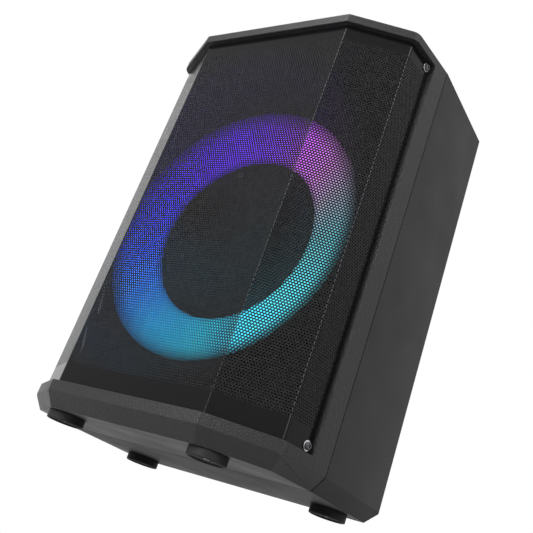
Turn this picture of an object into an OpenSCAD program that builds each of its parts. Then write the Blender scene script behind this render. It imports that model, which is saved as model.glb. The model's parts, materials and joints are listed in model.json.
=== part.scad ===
// Floor-standing party speaker: a faceted cabinet with a wrap-round steel grille,
// a light ring round an eight-inch driver, controls on top and sockets behind.
// Origin: centre of the footprint, on the floor. +Z up, the grille faces -Y.

/* [Cabinet] */
// Widest width, at the joint between front frame and cabinet
body_w = 340.6; // [300:1:420]
// Depth from the flat front facet to the rear wall
body_d = 234; // [215:1:300]
// Height from the underside to the top, without the feet
body_h = 469.7; // [420:1:600]
// Sideways run of each angled front facet
cheek_run = 64.4; // [50:1:75]
// Depth at which the angled front facets end
cheek_d = 40; // [30:1:48]
// Sideways run of each steep side facet
side_run = 8.9; // [4:0.1:14]
// Depth of the joint between front frame and cabinet
split_d = 104.3; // [100:0.1:110]
// How much narrower each side is at the rear wall
rear_taper = 1.6; // [0:0.1:8]
// Height of the bevel round the bottom edge
bevel_h = 14.7; // [8:0.1:20]
// Inward run of the bevel round the bottom edge
bevel_run = 10.1; // [6:0.1:14]
// Wall of the cabinet, and of the frame's top and bottom
wall = 5; // [4:0.5:7]
// Corner radius where the angled facet meets the steep one
cheek_r = 13; // [8:1:16]
// Corner radius at the two front creases
crease_r = 2; // [1:0.5:4]
// Corner radius of the rear vertical edges
rear_r = 5; // [2:1:10]
// Width of the shadow groove where frame and cabinet meet
groove = 0.8; // [0.4:0.1:1.5]

/* [Front frame and grille] */
// Height of the front band below the grille
band_low = 11.7; // [8:0.1:20]
// Height of the front band above the grille
band_high = 9.9; // [8:0.1:20]
// Depth of the grille's rear edges
grille_edge_d = 81.5; // [78:0.1:83]
// How far the grille sits behind the frame's face
grille_inset = 6.2; // [3:0.1:8]
// Thickness of the grille sheet
grille_t = 1.2; // [0.8:0.1:1.6]
// Gap round the edge of the grille sheet
grille_gap = 0.4; // [0.2:0.1:1]
// Thickness of the ledge behind the grille's margin
ledge_t = 3; // [2:0.5:5]
// Width of the ledge behind the grille's margin
ledge_w = 12; // [9:1:16]
// Radius of the grille washers
washer_r = 5; // [4:0.1:5.5]
// Distance from the grille's edges to a grille screw
grille_screw_in = 6.5; // [6:0.1:9]
// Width of the frame's inner flange, which the baffle is screwed to
flange_w = 14; // [12:1:20]
// Thickness of the frame's inner flange
flange_t = 8.3; // [6:0.1:9]

/* [Baffle and driver] */
// Height of the driver's axis above the floor
driver_z = 239.4; // [225:1:260]
// Thickness of the baffle board
baffle_t = 11; // [9:1:12]
// Thickness of the foam seal behind the baffle
seal_t = 1; // [0.5:0.5:2]
// Radius of the baffle's driver opening
driver_hole_r = 93; // [92.5:0.5:94]
// Outer radius of the driver's basket
basket_r = 102; // [101.5:0.5:103]
// Thickness of the basket's flange
basket_flange_t = 4; // [3:0.5:5]
// Radius of the circle of driver screws
driver_pcd_r = 97.7; // [97:0.1:98]
// Number of driver screws
driver_screw_n = 8; // [6:1:10]
// Radius of the cone's rim
cone_r = 79; // [75:1:80]
// Radius of the voice coil former
coil_r = 19; // [16:0.5:20]
// Depth of the cone
cone_depth = 31; // [25:1:34]
// Radius of the dust cap
cap_r = 32; // [26:1:36]
// Outward travel of the cone, and the same inward
cone_travel = 4; // [2:0.5:5]
// Radius of the ring magnet
magnet_r = 55; // [48:1:58]
// Thickness of the ring magnet
magnet_t = 18; // [14:1:22]
// Thickness of the top plate and of the back plate
plate_t = 6; // [5:0.5:8]

/* [Light ring] */
// Outer radius of the lit ring
ring_r = 150; // [145:0.5:150]
// Radius of the dark disc inside the lit ring
ring_in_r = 97; // [96.5:0.1:97.3]
// Depth of the lit ring's outer edge
ring_out_d = 46; // [45.5:0.5:48]
// Depth of the lit ring's inner edge
ring_in_d = 65; // [62:1:66]
// Thickness of the milky lens
lens_t = 2.6; // [2:0.1:3]
// Number of lamps on the ring-shaped board
lamp_n = 24; // [12:4:36]

/* [Feet] */
// Radius of a foot
foot_r = 19; // [15:1:22]
// Height of a foot
foot_h = 8; // [6:1:12]
// Sideways place of the front feet
foot_front_x = 93.5; // [80:1:96]
// Depth of the front feet
foot_front_d = 33.5; // [33:0.5:50]
// Sideways place of the rear feet
foot_rear_x = 129.5; // [100:1:132]
// Depth of the rear feet
foot_rear_d = 201; // [185:1:204]

/* [Top controls] */
// Width of the control tray
tray_w = 190; // [180:1:220]
// Depth of the control tray, front to back
tray_l = 56; // [50:1:60]
// Depth of the control tray's front edge behind the front facet
tray_d = 122; // [118:1:126]
// How far the tray's floor lies below the top
tray_drop = 2.5; // [2:0.1:4]
// Radius of a push button
button_r = 8; // [6:0.5:9]
// Spacing of the push buttons
button_pitch = 27; // [24:1:30]
// Travel of a push button
button_travel = 1.2; // [0.8:0.1:2]
// Gap round a push button
button_gap = 0.35; // [0.3:0.05:0.6]

/* [Rear sockets] */
// Width of the socket panel's dish
dish_w = 206; // [200:1:220]
// Height of the socket panel's dish
dish_h = 84; // [80:1:95]
// Depth of the socket panel's dish
dish_drop = 20; // [18:1:24]
// Height of the dish's centre above the floor
dish_z = 112; // [105:1:118]
// Radius of a rotary knob
knob_r = 9; // [8:0.5:11]
// Length of a rotary knob
knob_l = 14; // [12:0.5:15]
// Radius of a potentiometer shaft
shaft_r = 3; // [2.5:0.5:3.5]
// Radial running clearance of shafts and pins
run_gap = 0.05; // [0.02:0.01:0.1]
// Radius of the hole for a 6.35 mm plug
mic_bore_r = 3.25; // [3.2:0.01:3.3]
// Radius of the hole for a 3.5 mm plug
aux_bore_r = 1.8; // [1.78:0.01:1.85]
// Tilt of the rocker at rest, and the same the other way when pressed
rocker_tilt = 8; // [5:1:9]

/* [Port and handle] */
// Inner radius of the bass port
port_r = 30; // [25:1:32]
// Length of the bass port
port_l = 95; // [70:1:110]
// Distance of the bass port's axis below the hand opening's centre
port_below = 80; // [76:1:84]
// Width of the hand opening in the rear wall
grip_w = 140; // [120:1:160]
// Height of the hand opening in the rear wall
grip_h = 36; // [32:1:40]
// Distance of the hand opening's centre below the top
grip_below = 59.7; // [56:0.1:64]
// Depth of the hand cup behind the rear wall
grip_d = 40; // [34:1:44]
// How far the hand cup reaches up behind the opening
grip_hook = 14; // [10:1:16]

/* [Battery and boards] */
// Width of the battery pack
battery_w = 150; // [120:1:160]
// Height of the battery pack
battery_h = 44; // [36:1:50]
// Front-to-back length of the battery pack
battery_l = 40; // [36:1:42]
// Radius of a self-tapping screw's shank
screw_r = 1.9; // [1.5:0.1:2]
// Radial clearance of a screw in its hole
screw_gap = 0.1; // [0.05:0.05:0.3]

/* [Hidden] */
$fn = 64;

front_y = -body_d / 2;
rear_y = body_d / 2;
base_z = foot_h;
top_z = foot_h + body_h;
band_z = base_z + bevel_h;
grip_z = top_z - grip_below;
port_z = grip_z - port_below;
open_low_z = band_z + band_low;
open_high_z = top_z - band_high;
frame_wall = grille_inset + grille_t + ledge_t;
corner_steps = 8;
// Alternate planes of the bottom bevel start this much higher, so that no four meet in a point
bevel_stagger = 0.04;
// Room left between pieces that touch only by their fasteners
fit_gap = 0.3;
// Far past any wall, for cuts that go right through
far = 600;

// Plan of the body: its corners anticlockwise from the rear left, and their radii
half_w = body_w / 2;
cheek_x = half_w - side_run;
flat_x = cheek_x - cheek_run;
rear_x = half_w - rear_taper;
half_plan = [[rear_x, rear_y], [half_w, front_y + split_d + groove], [cheek_x, front_y + cheek_d],
    [flat_x, front_y]];
plan = concat([for (p = half_plan) [-p.x, p.y]], [for (i = [3:-1:0]) half_plan[i]]);
plan_r = [rear_r, 0, cheek_r, crease_r, crease_r, cheek_r, 0, rear_r];
side_angle = atan2(side_run, split_d + groove - cheek_d);

// Depths of the layers behind the front facet
flange_d = split_d - flange_t;
seal_d = flange_d - seal_t;
baffle_d = seal_d - baffle_t;
gasket_t = 1;
basket_d = baffle_d - gasket_t - basket_flange_t;
lip_t = 1;
screw_head_h = 2.4;
screw_head_r = 3.6;
lens_slope = (ring_in_d - ring_out_d) / (ring_r - ring_in_r);
housing_in_r = basket_r + 1.8;
housing_t = 2.2;
housing_front_d = ring_in_d + lens_t;
led_board_d = baffle_d - 5;
led_board_t = 1.6;
coil_front_d = basket_d + 1 + cone_depth;
spider_d = coil_front_d + 7;
top_plate_d = spider_d + 11;
magnet_d = top_plate_d + plate_t;
back_plate_d = magnet_d + magnet_t;
gap_in_r = coil_r - 1.5;
gap_out_r = coil_r + 2;

// Top controls, counted down from the top
tray_floor_t = 3.5;
tray_under_z = top_z - tray_drop - tray_floor_t;
button_flange_t = 1.5;
button_top_z = top_z - 1;
stem_z = tray_under_z - fit_gap - button_flange_t - 1.5;
plunger_z = stem_z - button_travel - fit_gap;
board_t = 1.6;
control_board_z = plunger_z - 3.4;
button_names = ["power", "mode", "back", "play", "next", "light"];
tray_y = front_y + tray_d + tray_l / 2;
tray_r = 8;
tray_lip = 6;
tray_lip_t = 2;

// Rear sockets, counted in from the rear wall
dish_t = 2.5;
dish_in = dish_drop + dish_t;
rebate = 2.5;
dish_rim = 11;
nut_t = 2;
pot_l = 8;
pot_w = 16;
socket_board_in = dish_in + pot_l + 2;
knob_in = dish_drop - knob_l - 1;
knob_up = 16;
socket_down = -20;
mic_knob_x = 62;
guitar_knob_x = 28;
dc_x = 80;
usb_x = 50;
aux_x = 22;
mic_jack_x = -8;
guitar_jack_x = -40;
rocker_x = -78;

module color_dark() { color([0.08, 0.08, 0.085]) children(); }
module color_shell() { color([0.16, 0.16, 0.17]) children(); }
module color_steel() { color([0.62, 0.63, 0.65]) children(); }
module color_board() { color([0.05, 0.25, 0.14]) children(); }
module color_rubber() { color([0.05, 0.05, 0.05]) children(); }

// ---- plan geometry ----
function unit(v) = v / norm(v);
function inward(a, b) = let (e = unit(b - a)) [-e.y, e.x];
function meet(n1, c1, n2, c2) = let (k = n1.x * n2.y - n1.y * n2.x)
    [(c1 * n2.y - c2 * n1.y) / k, (n1.x * c2 - n2.x * c1) / k];
function before(i) = plan[(i + len(plan) - 1) % len(plan)];
function after(i) = plan[(i + 1) % len(plan)];
function inset_corner(i, d) = let (n1 = inward(before(i), plan[i]), n2 = inward(plan[i], after(i)))
    meet(n1, n1 * plan[i] + d, n2, n2 * plan[i] + d);
function corner_arc(q, p, s, r) = let (
        u = unit(q - p),
        v = unit(s - p),
        half = acos(u * v) / 2,
        c = p + unit(u + v) * r / sin(half),
        a = unit(p + u * r / tan(half) - c),
        b = unit(p + v * r / tan(half) - c),
        n = r > 3 ? corner_steps : corner_steps / 2)
    [for (k = [0:n]) c + r * unit(a * (n - k) + b * k)];
function outline(d) = [for (i = [0:len(plan) - 1])
    let (p = inset_corner(i, d), r = plan_r[i] - d)
    each (r > 0.3 ? corner_arc(inset_corner((i + 7) % 8, d), p, inset_corner((i + 1) % 8, d), r) : [p])];

// The body's shape, moved in by d on its sides and bevel, between two heights
module body_solid(d, z0, z1) {
    slope = -atan2(bevel_h, bevel_run);
    difference() {
        translate([0, 0, z0])
            linear_extrude(z1 - z0) polygon(outline(d));
        for (i = [0:len(plan) - 1]) {
            e = after(i) - plan[i];
            translate([plan[i].x, plan[i].y, band_z + bevel_stagger * (i % 2)])
                rotate([0, 0, atan2(e.y, e.x)])
                rotate([slope, 0, 0])
                translate([-60, -60, -80 + d])
                cube([norm(e) + 120, 120, 80]);
        }
    }
}

// A slab of the whole width between two depths behind the front facet
module slab(d0, d1) {
    translate([-far / 2, front_y + d0, -far / 2])
        cube([far, d1 - d0, 2 * far]);
}

// Places children with their z as depth behind the front facet, on the driver's axis
module at_driver() {
    translate([0, front_y, driver_z])
        rotate([-90, 0, 0])
        children();
}

// Places children with their z as depth in from the rear wall and y upwards
module at_rear(x, z) {
    translate([x, rear_y, z])
        rotate([90, 0, 0])
        children();
}

module ring(r_in, r_out, z0, z1) {
    translate([0, 0, z0])
        difference() {
            cylinder(r = r_out, h = z1 - z0);
            translate([0, 0, -1])
                cylinder(r = r_in, h = z1 - z0 + 2);
        }
}

// A pan-head screw: head in front of z = 0, shank behind it
module pan_screw(shank_r, shank_l, head_r, head_h) {
    recess_r = head_r * 0.45;
    rotate_extrude()
        polygon([[0, -head_h + 1.2], [recess_r, -head_h + 1.2], [recess_r, -head_h],
            [head_r - 0.8, -head_h], [head_r, -head_h + 0.9], [head_r, 0], [shank_r, 0],
            [shank_r, shank_l - 1.5], [0.4, shank_l], [0, shank_l]]);
}

// A countersunk screw, its head's top at z = 0, and the hole it seats in
flat_rim = 0.4;
flat_cone = 1.6;
module flat_screw(shank_r, shank_l, head_r) {
    rotate_extrude()
        polygon([[0, 0], [head_r, 0], [head_r, flat_rim], [shank_r, flat_rim + flat_cone],
            [shank_r, shank_l], [0, shank_l]]);
}
module flat_hole(shank_r, head_r) {
    cone_end = flat_rim + flat_cone * (1 - screw_gap / (head_r - shank_r));
    rotate_extrude()
        polygon([[0, -1], [head_r + screw_gap, -1], [head_r + screw_gap, flat_rim],
            [head_r, flat_rim], [shank_r + screw_gap, cone_end], [shank_r + screw_gap, 30],
            [0, 30]]);
}

// ---- fastener places ----
baffle_screw_r = 2.1;
boss_r = 6;
boss_l = 24;
side_boss_x = half_w - frame_wall - boss_r - 2.5;
side_boss_rows = 4;
side_boss_margin = 52;
function side_boss_z(k) = base_z + side_boss_margin
    + k * (body_h - 2 * side_boss_margin) / (side_boss_rows - 1);
end_boss_x = tray_w / 2 + tray_lip + boss_r + 18;
end_boss_in = wall + boss_r + 1;
boss_places = concat(
    [for (s = [-1, 1]) for (k = [0:side_boss_rows - 1]) [s * side_boss_x, side_boss_z(k)]],
    [for (s = [-1, 1]) for (z = [base_z + end_boss_in, top_z - end_boss_in]) [s * end_boss_x, z]]);
foot_places = [[-foot_front_x, foot_front_d], [foot_front_x, foot_front_d],
    [-foot_rear_x, foot_rear_d], [foot_rear_x, foot_rear_d]];
housing_screw_r = 111;
housing_screw_n = 6;

// Children stand at each grille screw, with z pointing into the steep facet
module at_grille_screws() {
    along = (grille_edge_d - grille_gap - grille_screw_in - cheek_d) / cos(side_angle);
    for (s = [-1, 1], z = [open_low_z + grille_screw_in, open_high_z - grille_screw_in])
        translate([s * cheek_x, front_y + cheek_d, z])
            rotate([0, 0, -s * side_angle])
            translate([-s * grille_inset, along, 0])
            rotate([0, -s * 90, 0])
            children();
}

// Children stand at each baffle screw, with z as depth behind the front facet
module at_bosses() {
    for (p = boss_places)
        translate([p.x, front_y, p.y])
            rotate([-90, 0, 0])
            children();
}

module at_feet() {
    for (p = foot_places)
        translate([p.x, front_y + p.y, 0])
            children();
}

// ---- enclosure ----
foot_boss_l = 14;
foot_screw_l = 16;
foot_recess = 1.5;
foot_head_in = 4;
module foot_boss() {
    translate([0, 0, base_z + wall - 1])
        cylinder(r = boss_r, h = foot_boss_l);
}
module foot_pilot() {
    translate([0, 0, base_z - 1])
        cylinder(r = screw_r + screw_gap, h = foot_screw_l + 1);
}

module front_frame() {
    color_dark() difference() {
        union() {
            difference() {
                intersection() {
                    body_solid(0, base_z, top_z);
                    slab(-1, split_d);
                }
                intersection() {
                    body_solid(frame_wall, base_z + wall, top_z - wall);
                    slab(-1, flange_d);
                }
                intersection() {
                    body_solid(frame_wall + flange_w, base_z + wall + flange_w,
                        top_z - wall - flange_w);
                    slab(flange_d - 1, split_d + 1);
                }
                difference() {
                    intersection() {
                        translate([-far / 2, -far / 2, open_low_z])
                            cube([far, far, open_high_z - open_low_z]);
                        slab(-1, grille_edge_d);
                    }
                    translate([0, 0, base_z])
                        linear_extrude(body_h)
                        polygon(outline(grille_inset + grille_t));
                }
                intersection() {
                    translate([-far / 2, -far / 2, open_low_z + ledge_w])
                        cube([far, far, open_high_z - open_low_z - 2 * ledge_w]);
                    slab(-1, grille_edge_d - ledge_w);
                }
            }
            intersection() {
                at_feet() foot_boss();
                slab(foot_front_d - 2 * boss_r, foot_front_d + 2 * boss_r);
            }
        }
        at_feet() foot_pilot();
        at_grille_screws()
            translate([0, 0, -1])
            cylinder(r = screw_r + screw_gap, h = 14);
        at_bosses()
            translate([0, 0, flange_d - 1])
            cylinder(r = baffle_screw_r + screw_gap, h = flange_t + 2);
    }
}

module cabinet_shell() {
    color_shell() difference() {
        union() {
            difference() {
                intersection() {
                    body_solid(0, base_z, top_z);
                    slab(split_d, body_d + 1);
                }
                intersection() {
                    body_solid(wall, base_z + wall, top_z - wall);
                    slab(split_d - 1, body_d - wall);
                }
                difference() {
                    slab(split_d - 1, split_d + groove);
                    body_solid(groove, base_z + groove, top_z - groove);
                }
            }
            intersection() {
                body_solid(wall - 1, base_z + wall - 1, top_z - wall + 1);
                slab(split_d, split_d + boss_l);
                union() {
                    at_bosses() cylinder(r = boss_r, h = split_d + boss_l);
                    for (p = boss_places)
                        boss_web(p);
                }
            }
            intersection() {
                at_feet() foot_boss();
                slab(foot_rear_d - 2 * boss_r, foot_rear_d + 2 * boss_r);
            }
            at_rear(0, amp_z0 + amp_h / 2) at_amp_posts()
                cylinder_between(3.5, wall - 1, amp_in);
            at_bracket_ears() cylinder_between(5, -1, bracket_lift);
        }
        at_feet() foot_pilot();
        at_bosses()
            translate([0, 0, split_d - 1])
            cylinder(r = baffle_screw_r + screw_gap, h = boss_l - 2);
        at_rear(0, amp_z0 + amp_h / 2) at_amp_posts()
            translate([0, 0, amp_in]) board_pilot();
        at_bracket_ears() translate([0, 0, bracket_lift]) board_pilot();
        tray_cut();
        socket_panel_cut();
        port_cut();
        grip_opening();
        panel_screw_holes();
    }
}

// The web that ties a screw boss to the nearest wall
module boss_web(p) {
    web_t = 5;
    if (abs(p.x) > end_boss_x)
        translate([p.x > 0 ? p.x : p.x - 30, front_y, p.y - web_t / 2])
            cube([30, body_d, web_t]);
    else
        translate([p.x - web_t / 2, front_y, p.y > driver_z ? p.y : p.y - 30])
            cube([web_t, body_d, 30]);
}

module grille() {
    color([0.03, 0.03, 0.032]) difference() {
        intersection() {
            translate([0, 0, open_low_z + grille_gap])
                linear_extrude(open_high_z - open_low_z - 2 * grille_gap)
                difference() {
                    polygon(outline(grille_inset));
                    polygon(outline(grille_inset + grille_t));
                }
            slab(-1, grille_edge_d - grille_gap);
        }
        at_grille_screws()
            translate([0, 0, -1])
            cylinder(r = screw_r + screw_gap, h = 4);
    }
}

washer_t = 0.8;
module grille_washers() {
    color_steel() at_grille_screws()
        ring(screw_r + screw_gap, washer_r, -washer_t, 0);
}

module grille_screws() {
    color_dark() at_grille_screws()
        translate([0, 0, -washer_t])
        pan_screw(screw_r, 9, screw_head_r, screw_head_h);
}

module baffle() {
    color([0.09, 0.08, 0.08]) difference() {
        intersection() {
            body_solid(frame_wall + fit_gap, base_z + wall + fit_gap, top_z - wall - fit_gap);
            slab(baffle_d, seal_d);
        }
        at_driver() {
            cylinder(r = driver_hole_r, h = body_d);
            at_circle(driver_screw_n, driver_pcd_r)
                cylinder(r = screw_r + screw_gap, h = body_d);
            at_circle(housing_screw_n, housing_screw_r)
                cylinder(r = screw_r + screw_gap, h = body_d);
        }
        at_bosses() cylinder(r = baffle_screw_r + screw_gap, h = body_d);
    }
}

module at_circle(n, r) {
    for (k = [0:n - 1])
        rotate([0, 0, (k + 0.5) * 360 / n])
            translate([r, 0, 0])
            children();
}

module baffle_gasket() {
    color([0.2, 0.2, 0.2]) difference() {
        intersection() {
            body_solid(frame_wall + fit_gap, base_z + wall + fit_gap, top_z - wall - fit_gap);
            slab(seal_d, flange_d);
        }
        body_solid(frame_wall + flange_w, base_z + wall + flange_w, top_z - wall - flange_w);
        at_bosses() cylinder(r = baffle_screw_r + screw_gap, h = body_d);
    }
}

module baffle_screws() {
    color_steel() at_bosses()
        translate([0, 0, baffle_d])
        pan_screw(baffle_screw_r, seal_d - baffle_d + seal_t + flange_t + 16, 4.5, 3);
}

module foot() {
    lip_w = 3.5;
    color_rubber() rotate_extrude()
        polygon([[screw_r + screw_gap, foot_head_in], [4.6, foot_head_in], [4.6, foot_recess],
            [foot_r - lip_w, foot_recess], [foot_r - lip_w + 0.8, 0], [foot_r - 0.8, 0],
            [foot_r, 0.8], [foot_r, base_z], [screw_r + screw_gap, base_z]]);
}
module foot_front_left() {
    translate([foot_places[0].x, front_y + foot_places[0].y, 0]) foot();
}
module foot_front_right() {
    translate([foot_places[1].x, front_y + foot_places[1].y, 0]) foot();
}
module foot_rear_left() {
    translate([foot_places[2].x, front_y + foot_places[2].y, 0]) foot();
}
module foot_rear_right() {
    translate([foot_places[3].x, front_y + foot_places[3].y, 0]) foot();
}
module foot_screws() {
    color_steel() at_feet()
        translate([0, 0, foot_head_in])
        pan_screw(screw_r, base_z - foot_head_in + foot_screw_l - 3, screw_head_r, screw_head_h);
}

// ---- port and handle ----
port_wall = 3;
port_flare = 9;
port_rim_t = 2;
module port_cut() {
    at_rear(0, port_z) {
        translate([0, 0, -1])
            cylinder(r = port_r + port_wall + fit_gap, h = wall + 2);
        translate([0, 0, -1])
            cylinder(r = port_r + port_flare + fit_gap, h = port_rim_t + 1);
    }
}
module port_tube() {
    color_dark() at_rear(0, port_z) rotate_extrude()
        polygon(concat(
            [for (k = [0:8]) let (a = k * 90 / 8, r = port_flare - 1)
                [port_r + r * (1 - sin(a)), r * (1 - cos(a))]],
            [[port_r, port_l], [port_r + port_wall, port_l], [port_r + port_wall, port_rim_t],
                [port_r + port_flare, port_rim_t], [port_r + port_flare, 0]]));
}

cup_t = 2.5;
cup_rim = 11;
grip_r = 12;
module rounded_slot(w, h, r, l) {
    linear_extrude(l) {
        square([w - 2 * r, h], center = true);
        square([w, h - 2 * r], center = true);
        for (sx = [-1, 1], sy = [-1, 1])
            translate([sx * (w / 2 - r), sy * (h / 2 - r)]) circle(r);
    }
}
module grip_opening() {
    at_rear(0, grip_z)
        translate([0, 0, -1])
        rounded_slot(grip_w, grip_h, grip_r, wall + 2);
}
module handle_cup() {
    inner_h = grip_h + grip_hook;
    color_dark() at_rear(0, grip_z) difference() {
        translate([0, grip_hook / 2, wall]) {
            rounded_slot(grip_w + 2 * cup_rim, inner_h + 2 * cup_rim, 8, cup_t);
            rounded_slot(grip_w + 2 * cup_t, inner_h + 2 * cup_t, grip_r + cup_t, grip_d);
        }
        translate([0, 0, wall - 1])
            rounded_slot(grip_w, grip_h, grip_r, cup_t + 2);
        translate([0, grip_hook / 2, wall + cup_t])
            rounded_slot(grip_w, inner_h, grip_r, grip_d - 2 * cup_t);
        at_cup_screws() cylinder(r = screw_r + screw_gap, h = 20);
    }
}
// The cup's four screws, in the rear-wall frame at the opening's centre
module at_cup_screws() {
    for (sx = [-1, 1], sy = [-1, 1])
        translate([sx * (grip_w + cup_t + cup_rim) / 2, (grip_hook + sy * (grip_h - 2)) / 2, 0])
            children();
}

// ---- light ring ----
module light_housing() {
    color_dark() at_driver() difference() {
        union() {
            ring(housing_in_r, ring_r, baffle_d - housing_t, baffle_d);
            ring(housing_in_r, housing_in_r + housing_t, housing_front_d, baffle_d);
            ring(ring_r - housing_t, ring_r, ring_out_d + lens_t + 1, baffle_d);
            for (r = [120, 141])
                ring(r, r + 2, led_board_d + led_board_t, baffle_d);
        }
        at_circle(housing_screw_n, housing_screw_r)
            cylinder(r = screw_r + screw_gap, h = body_d);
    }
}

module led_board() {
    color([0.85, 0.86, 0.84]) at_driver()
        ring(118, 144, led_board_d, led_board_d + led_board_t);
}

module led_lamps() {
    lamp = 5;
    lamp_h = 1.6;
    color([0.95, 0.95, 0.85]) at_driver()
        for (k = [0:lamp_n - 1])
            rotate([0, 0, k * 360 / lamp_n])
            translate([131 - lamp / 2, -lamp / 2, led_board_d - lamp_h])
            cube([lamp, lamp, lamp_h]);
}

module light_lens() {
    seat_d = ring_out_d + lens_t + 1;
    function back_d(r) = ring_in_d + lens_t - (r - ring_in_r) * lens_slope;
    outer_seat_r = ring_in_r + (ring_in_d + lens_t - seat_d) / lens_slope;
    inner_seat_r = housing_in_r + housing_t;
    color([0.9, 0.9, 1.0, 0.8]) at_driver() rotate_extrude($fn = 128)
        polygon([[ring_in_r, ring_in_d], [ring_r, ring_out_d], [ring_r, seat_d],
            [outer_seat_r, seat_d], [inner_seat_r, back_d(inner_seat_r)],
            [inner_seat_r, housing_front_d], [ring_in_r, housing_front_d]]);
}

module housing_screws() {
    color_steel() at_driver() at_circle(housing_screw_n, housing_screw_r)
        translate([0, 0, baffle_d - housing_t])
        pan_screw(screw_r, 11, screw_head_r, screw_head_h);
}

// ---- driver ----
roll_r = 5.5;
lip_out_r = 93.5;
module driver_gasket() {
    color([0.15, 0.15, 0.15]) at_driver() difference() {
        ring(driver_hole_r + 0.5, basket_r, baffle_d - gasket_t, baffle_d);
        at_circle(driver_screw_n, driver_pcd_r)
            cylinder(r = screw_r + screw_gap, h = body_d);
    }
}

module driver_trim_ring() {
    color_dark() at_driver()
        ring(ring_in_r, housing_in_r, housing_front_d, basket_d - screw_head_h - 0.6);
}

basket_t = 1.6;
shelf_r = 62;
// The basket's terminal tag: its angle, radius, width and length behind the shelf
tag_angle = -26.3;
tag_r = 66;
tag_w = 10;
tag_l = 3;
module driver_basket() {
    can_r = 47.5;
    wall_out = basket_r - 11;
    flange_back = basket_d + basket_flange_t;
    color([0.12, 0.12, 0.13]) at_driver() {
        difference() {
            rotate_extrude()
                polygon([[cone_r + roll_r * 2 - 1, basket_d], [basket_r, basket_d],
                    [basket_r, flange_back], [wall_out, flange_back], [shelf_r, spider_d],
                    [can_r, spider_d], [can_r, top_plate_d], [gap_out_r, top_plate_d],
                    [gap_out_r, top_plate_d - basket_t], [can_r - basket_t, top_plate_d - basket_t],
                    [can_r - basket_t, spider_d - basket_t], [shelf_r - 0.6, spider_d - basket_t],
                    [wall_out - basket_t - 1, flange_back - 1.5],
                    [cone_r + roll_r * 2 - 1, flange_back - 1.5]]);
            at_circle(driver_screw_n, driver_pcd_r)
                cylinder(r = screw_r + screw_gap, h = body_d);
            for (k = [0:5])
                rotate([0, 0, k * 60])
                translate([74, 0, flange_back + 3])
                cylinder(r = 15, h = spider_d - flange_back - 5);
        }
        rotate([0, 0, tag_angle])
            translate([shelf_r + 0.5, -tag_w / 2, spider_d - 6])
            cube([2 * (tag_r - shelf_r - 0.5), tag_w, 6 + tag_l]);
    }
}

module driver_screws() {
    color_steel() at_driver() at_circle(driver_screw_n, driver_pcd_r)
        translate([0, 0, basket_d])
        pan_screw(screw_r, 13, screw_head_r, screw_head_h);
}

cone_t = 1;
rim_d = basket_d + 1;
coil_l = 26;
// Depth of the cone's front face at radius r
function cone_face_d(r) = rim_d + (cone_r - r) * cone_depth / (cone_r - coil_r);
module cone() {
    color([0.06, 0.06, 0.065]) at_driver() rotate_extrude($fn = 96)
        polygon([[cone_r, rim_d], [cone_r, rim_d + cone_t], [coil_r, coil_front_d + cone_t],
            [coil_r, coil_front_d]]);
}

module surround() {
    roll_c = cone_r + roll_r + 0.6;
    roll_t = 0.9;
    color_rubber() at_driver() rotate_extrude($fn = 96)
        polygon(concat(
            [[cone_r - 4, rim_d - lip_t], [cone_r - 4, cone_face_d(cone_r - 4) - 0.05],
                [cone_r + 0.01, rim_d - 0.05]],
            [for (k = [0:10]) let (a = 180 - k * 18, r = roll_r - roll_t)
                [roll_c + r * cos(a), rim_d - lip_t - r * sin(a)]],
            [[lip_out_r, basket_d], [lip_out_r, basket_d - lip_t]],
            [for (k = [0:10]) let (a = k * 18, r = roll_r)
                [roll_c + r * cos(a), rim_d - lip_t - 0.3 - r * sin(a)]]));
}

module dust_cap() {
    rise = 12;
    cap_t = 0.8;
    seat = cone_face_d(cap_r);
    color([0.05, 0.05, 0.055]) at_driver() rotate_extrude($fn = 96)
        polygon(concat(
            [for (k = [0:10]) [cap_r * sin(k * 9), seat - rise * cos(k * 9)]],
            [[cap_r - cap_t, cone_face_d(cap_r - cap_t)]],
            [for (k = [9:-1:0])
                [(cap_r - cap_t) * sin(k * 9), seat - (rise - cap_t) * cos(k * 9)]]));
}

module voice_coil() {
    former_t = 0.5;
    color([0.72, 0.42, 0.2]) at_driver() {
        ring(coil_r - former_t, coil_r, coil_front_d, coil_front_d + coil_l);
        ring(coil_r, coil_r + 1, top_plate_d - 2, coil_front_d + coil_l);
    }
}

module spider() {
    waves = 5;
    in_r = coil_r + 0.05;
    out_r = 60;
    step = (out_r - in_r - 6) / waves / 8;
    function wave_d(k) = spider_d - basket_t - 2.2 + 1.2 * sin(k * 45);
    color([0.55, 0.42, 0.2]) at_driver() rotate_extrude($fn = 96)
        polygon(concat(
            [for (k = [0:waves * 8]) [in_r + 2 + k * step, wave_d(k)]],
            [[out_r, wave_d(0)], [out_r, spider_d - basket_t], [out_r - 4, spider_d - basket_t]],
            [for (k = [waves * 8:-1:0]) [in_r + 2 + k * step, wave_d(k) + 0.6]],
            [[in_r, wave_d(0) + 0.6], [in_r, wave_d(0)]]));
}

module top_plate() {
    color_steel() at_driver()
        ring(gap_out_r, 46, top_plate_d, magnet_d);
}

module magnet() {
    color([0.2, 0.2, 0.22]) at_driver()
        ring(gap_out_r + 5, magnet_r, magnet_d, back_plate_d);
}

module back_plate() {
    pole_vent_r = 5;
    color_steel() at_driver() difference() {
        union() {
            cylinder_between(magnet_r - 3, back_plate_d, back_plate_d + plate_t);
            cylinder_between(gap_in_r, top_plate_d, back_plate_d + 1);
        }
        cylinder(r = pole_vent_r, h = body_d);
    }
}
module cylinder_between(r, z0, z1) {
    translate([0, 0, z0])
        cylinder(r = r, h = z1 - z0);
}

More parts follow.
